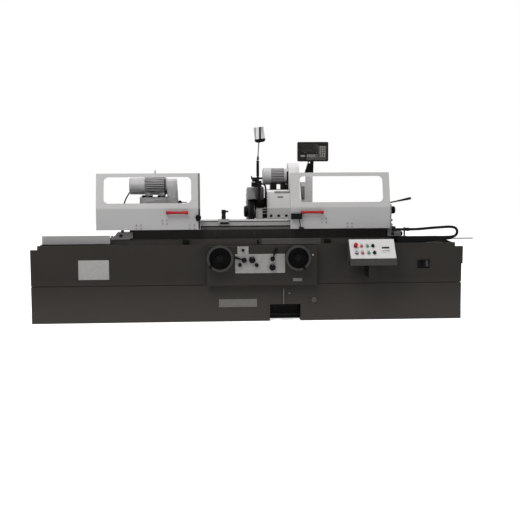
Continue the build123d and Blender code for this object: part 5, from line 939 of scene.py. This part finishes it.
for name, finish, (left, right, low, high) in BED_PLATES:
    fit_blocks(name, finish, "bed", [((left, BED_FRONT - PLATE_THICK, low), (right, BED_FRONT, high), 0.001)])
rod = bmesh.new()
turned(rod, [(0, 0), (0.004, 0), (0.005, 0.002), (0.005, 0.15), (0.004, 0.152), (0, 0.152)],
       (PULL_ROD_X, BED_FRONT - 0.018, 0.164), UP, 20)
for z in (0.19, 0.29):
    turned(rod, [(0, 0.018), (0.004, 0.018), (0.004, 0), (0, 0)], (PULL_ROD_X, BED_FRONT, z), OUT, 12)
cap_screw(rod, (0.386, BED_FRONT, 0.266), OUT, 0.01)
fit_piece("pedal_rod", rod, PLATE_FACE, "bed")
fit_turned("drain_plug", SCALE_PAINT, "bed",
           [(0, 0.006), (0.012, 0.006), (0.014, 0.012), (0.022, 0.012), (0.025, 0.008), (0.025, 0), (0, 0)],
           (0.624, BED_FRONT, 0.2), OUT, 24)
frame_bars = [((left, BED_FRONT - 0.004, low), (right, BED_FRONT, high), 0.001)
              for left, right, low, high in ISOLATOR_BARS]
fit_blocks("bed_trim", BED_PAINT, "bed", frame_bars + [END_STRIP])
fit_blocks("isolator_dial", FIELD_PLASTIC, "bed", [((1.706, -0.3955, 0.503), (1.735, -0.394, 0.565), 0.0005)])
print("bed fittings on", BED_FRONT)

# %% [markdown]
# ## The tables
# Clamps hold the upper table to the lower one. Bolts hold the end brackets and the trip dogs. A
# scale lies beside the dogs' track, and a flat clamp grips the rail under the dresser.

# %% Clamps and bolts of the tables
UPPER_FRONT = -0.240
BRACKET_FRONT = -0.270
CLAMP_PLACES = [-0.7, -0.315, 0.065, 0.45, 0.84]
DRESSER_FOOT = (-0.229, -0.22, 0.9655)
SCALE_LEFT, SCALE_RIGHT = 0.137, 0.705

fit_blocks("table_clamps", BED_PAINT, "upper_table",
           [((x - 0.012, UPPER_FRONT - 0.007, 0.782), (x + 0.012, UPPER_FRONT, 0.845), 0.003)
            for x in CLAMP_PLACES])
bolts = bmesh.new()
for x in (-1.212, 1.405):
    cap_screw(bolts, (x, BRACKET_FRONT, 0.816), OUT, 0.014)
round_knob(bolts, (1.488, -0.255, 0.814), RIGHT, 0.022, 0.015)
fit_piece("table_bolts", bolts, DARK_PAINT, "upper_table")
for dog in ("left_trip_dog", "right_trip_dog"):
    dog_low, dog_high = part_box(dog)
    middle = ((dog_low.x + dog_high.x) / 2, dog_low.y, (dog_low.z + dog_high.z) / 2)
    fit_screws(dog + "_bolt", DARK_PAINT, dog, [middle], OUT, 0.01)
fit_blocks("trip_scale", PLATE_FACE, "lower_table",
           [((SCALE_LEFT, -0.2635, 0.7235), (SCALE_RIGHT, -0.262, 0.7305), 0.0005)])
fit_blocks("scale_board", SCALE_PAINT, "lower_table",
           [((SCALE_LEFT, -0.263, 0.7315), (SCALE_RIGHT, -0.262, 0.7535), 0.0004),
            ((SCALE_LEFT, -0.251, 0.7545), (SCALE_RIGHT, -0.25, 0.7755), 0.0004)])
dresser_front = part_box("dresser")[0].y
fit_blocks("dresser_clamp", DARK_PAINT, "dresser",
           [((-0.266, dresser_front - 0.004, 0.919), (-0.179, dresser_front, 0.937), 0.0085)])
fit_turned("dresser_sleeve", DARK_PAINT, "dresser",
           [(0.0162, 0), (0.0205, 0), (0.0205, 0.034), (0.0178, 0.038), (0.0178, 0.045), (0.0215, 0.05),
            (0.0215, 0.083), (0.0185, 0.088), (0.0162, 0.088), (0.0162, 0)], DRESSER_FOOT, UP, 24)
print("clamps", len(CLAMP_PLACES))

# %% [markdown]
# ## Hose ends and the pedal's tread
# A crimped ferrule joins each hose to its fitting. The pedal has a ribbed rubber tread.

# %% Ferrules and tread
FERRULE = 0.026
FERRULE_GAP = 0.0003
RIBS = 6
RIB_PITCH = 0.012


def ferrule(name, centre, direction, thick, body):
    radius = thick / 2 + FERRULE_GAP
    fit_turned(name, DARK_PAINT, body,
               [(radius, 0), (radius + 0.004, 0), (radius + 0.004, FERRULE * 0.6), (radius + 0.002, FERRULE),
                (radius, FERRULE), (radius, 0)], centre, direction, 20)


ferrule("table_hose_ferrule", HOSE_ROUTE[0], RIGHT, HOSE_THICK, "lower_table")
ferrule("tray_ferrule", HOSE_ROUTE[-1], RIGHT, HOSE_THICK, "bed")
ferrule("coolant_foot_ferrule", COOLANT_ROUTE[-1], UP, COOLANT_THICK, "wheelhead")
pedal_low, pedal_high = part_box("foot_pedal")
ribs = [pedal_low.y + 0.008 + index * RIB_PITCH for index in range(RIBS)]
fit_blocks("pedal_tread", RUBBER, "foot_pedal",
           [((0.292, y, 0.062), (0.403, y + 0.006, 0.0655), 0.001) for y in ribs])
print("pedal", rounded(pedal_low, pedal_high))

# %% [markdown]
# ## The studio
# The photograph has a pure white ground. The world looks white to the camera and in reflections, but lights
# the machine softly. A wide floor keeps the shadow, and three large lamps give the surfaces some shape.

# %% Floor, world and lamps
FLOOR_HALF = 12
FLOOR_GLOW = 0.62
WORLD_LIGHT = 0.5


def white_to_the_lens(tree, plain, bright, output):
    """Use a plain white for what the lens, a reflection or a pane sees."""
    link = tree.links.new
    rays = add_node(tree, "LightPath").outputs
    seen = rays["Is Camera Ray"]
    for title in ("Is Glossy Ray", "Is Transmission Ray"):
        either = add_node(tree, "Math", operation="MAXIMUM")
        link(seen, either.inputs[0])
        link(rays[title], either.inputs[1])
        seen = either.outputs[0]
    mix = add_node(tree, "MixShader")
    link(seen, mix.inputs["Fac"])
    link(plain.outputs[0], mix.inputs[1])
    link(bright.outputs[0], mix.inputs[2])
    link(mix.outputs[0], output.inputs["Surface"])


world = bpy.data.worlds.new("studio")
world.use_nodes = True
sky = world.node_tree
soft = sky.nodes["Background"]
set_inputs(soft, {"Strength": WORLD_LIGHT, "Color": WHITE})
white = add_node(sky, "Background", {"Color": WHITE})
white_to_the_lens(sky, soft, white, sky.nodes["World Output"])
bpy.context.scene.world = world

floor_finish, floor_shader = start_finish("studio_floor", {"Base Color": grey(0.9), "Roughness": 0.9})
floor_tree = floor_finish.node_tree
glow = add_node(floor_tree, "Emission", {"Strength": FLOOR_GLOW})
both = add_node(floor_tree, "AddShader")
floor_tree.links.new(floor_shader.outputs[0], both.inputs[0])
floor_tree.links.new(glow.outputs[0], both.inputs[1])
white_to_the_lens(floor_tree, floor_shader, both, floor_tree.nodes["Material Output"])
sheet = bmesh.new()
bmesh.ops.create_grid(sheet, x_segments=1, y_segments=1, size=FLOOR_HALF)
floor = add_object("studio_floor", make_mesh("studio_floor", sheet, floor_finish))


def soft_lamp(name, place, aim, size, power):
    lamp = bpy.data.lights.new(name, "AREA")
    lamp.shape = "SQUARE"
    lamp.size = size
    lamp.energy = power
    holder = add_object(name, lamp)
    holder.matrix_world = Matrix.Translation(place) @ (
        (Vector(aim) - Vector(place)).to_track_quat("-Z", "Y").to_matrix().to_4x4())


soft_lamp("key", (-2.5, -5.0, 7.0), (0, 0, 0.8), 4.0, 420)
soft_lamp("fill", (5.0, -5.0, 3.0), (0, 0, 0.8), 4.0, 60)
soft_lamp("top", (0.5, 1.5, 6.0), (0, 0, 1.0), 4.0, 160)
bpy.context.scene.view_settings.view_transform = "Standard"
print("world light", WORLD_LIGHT)
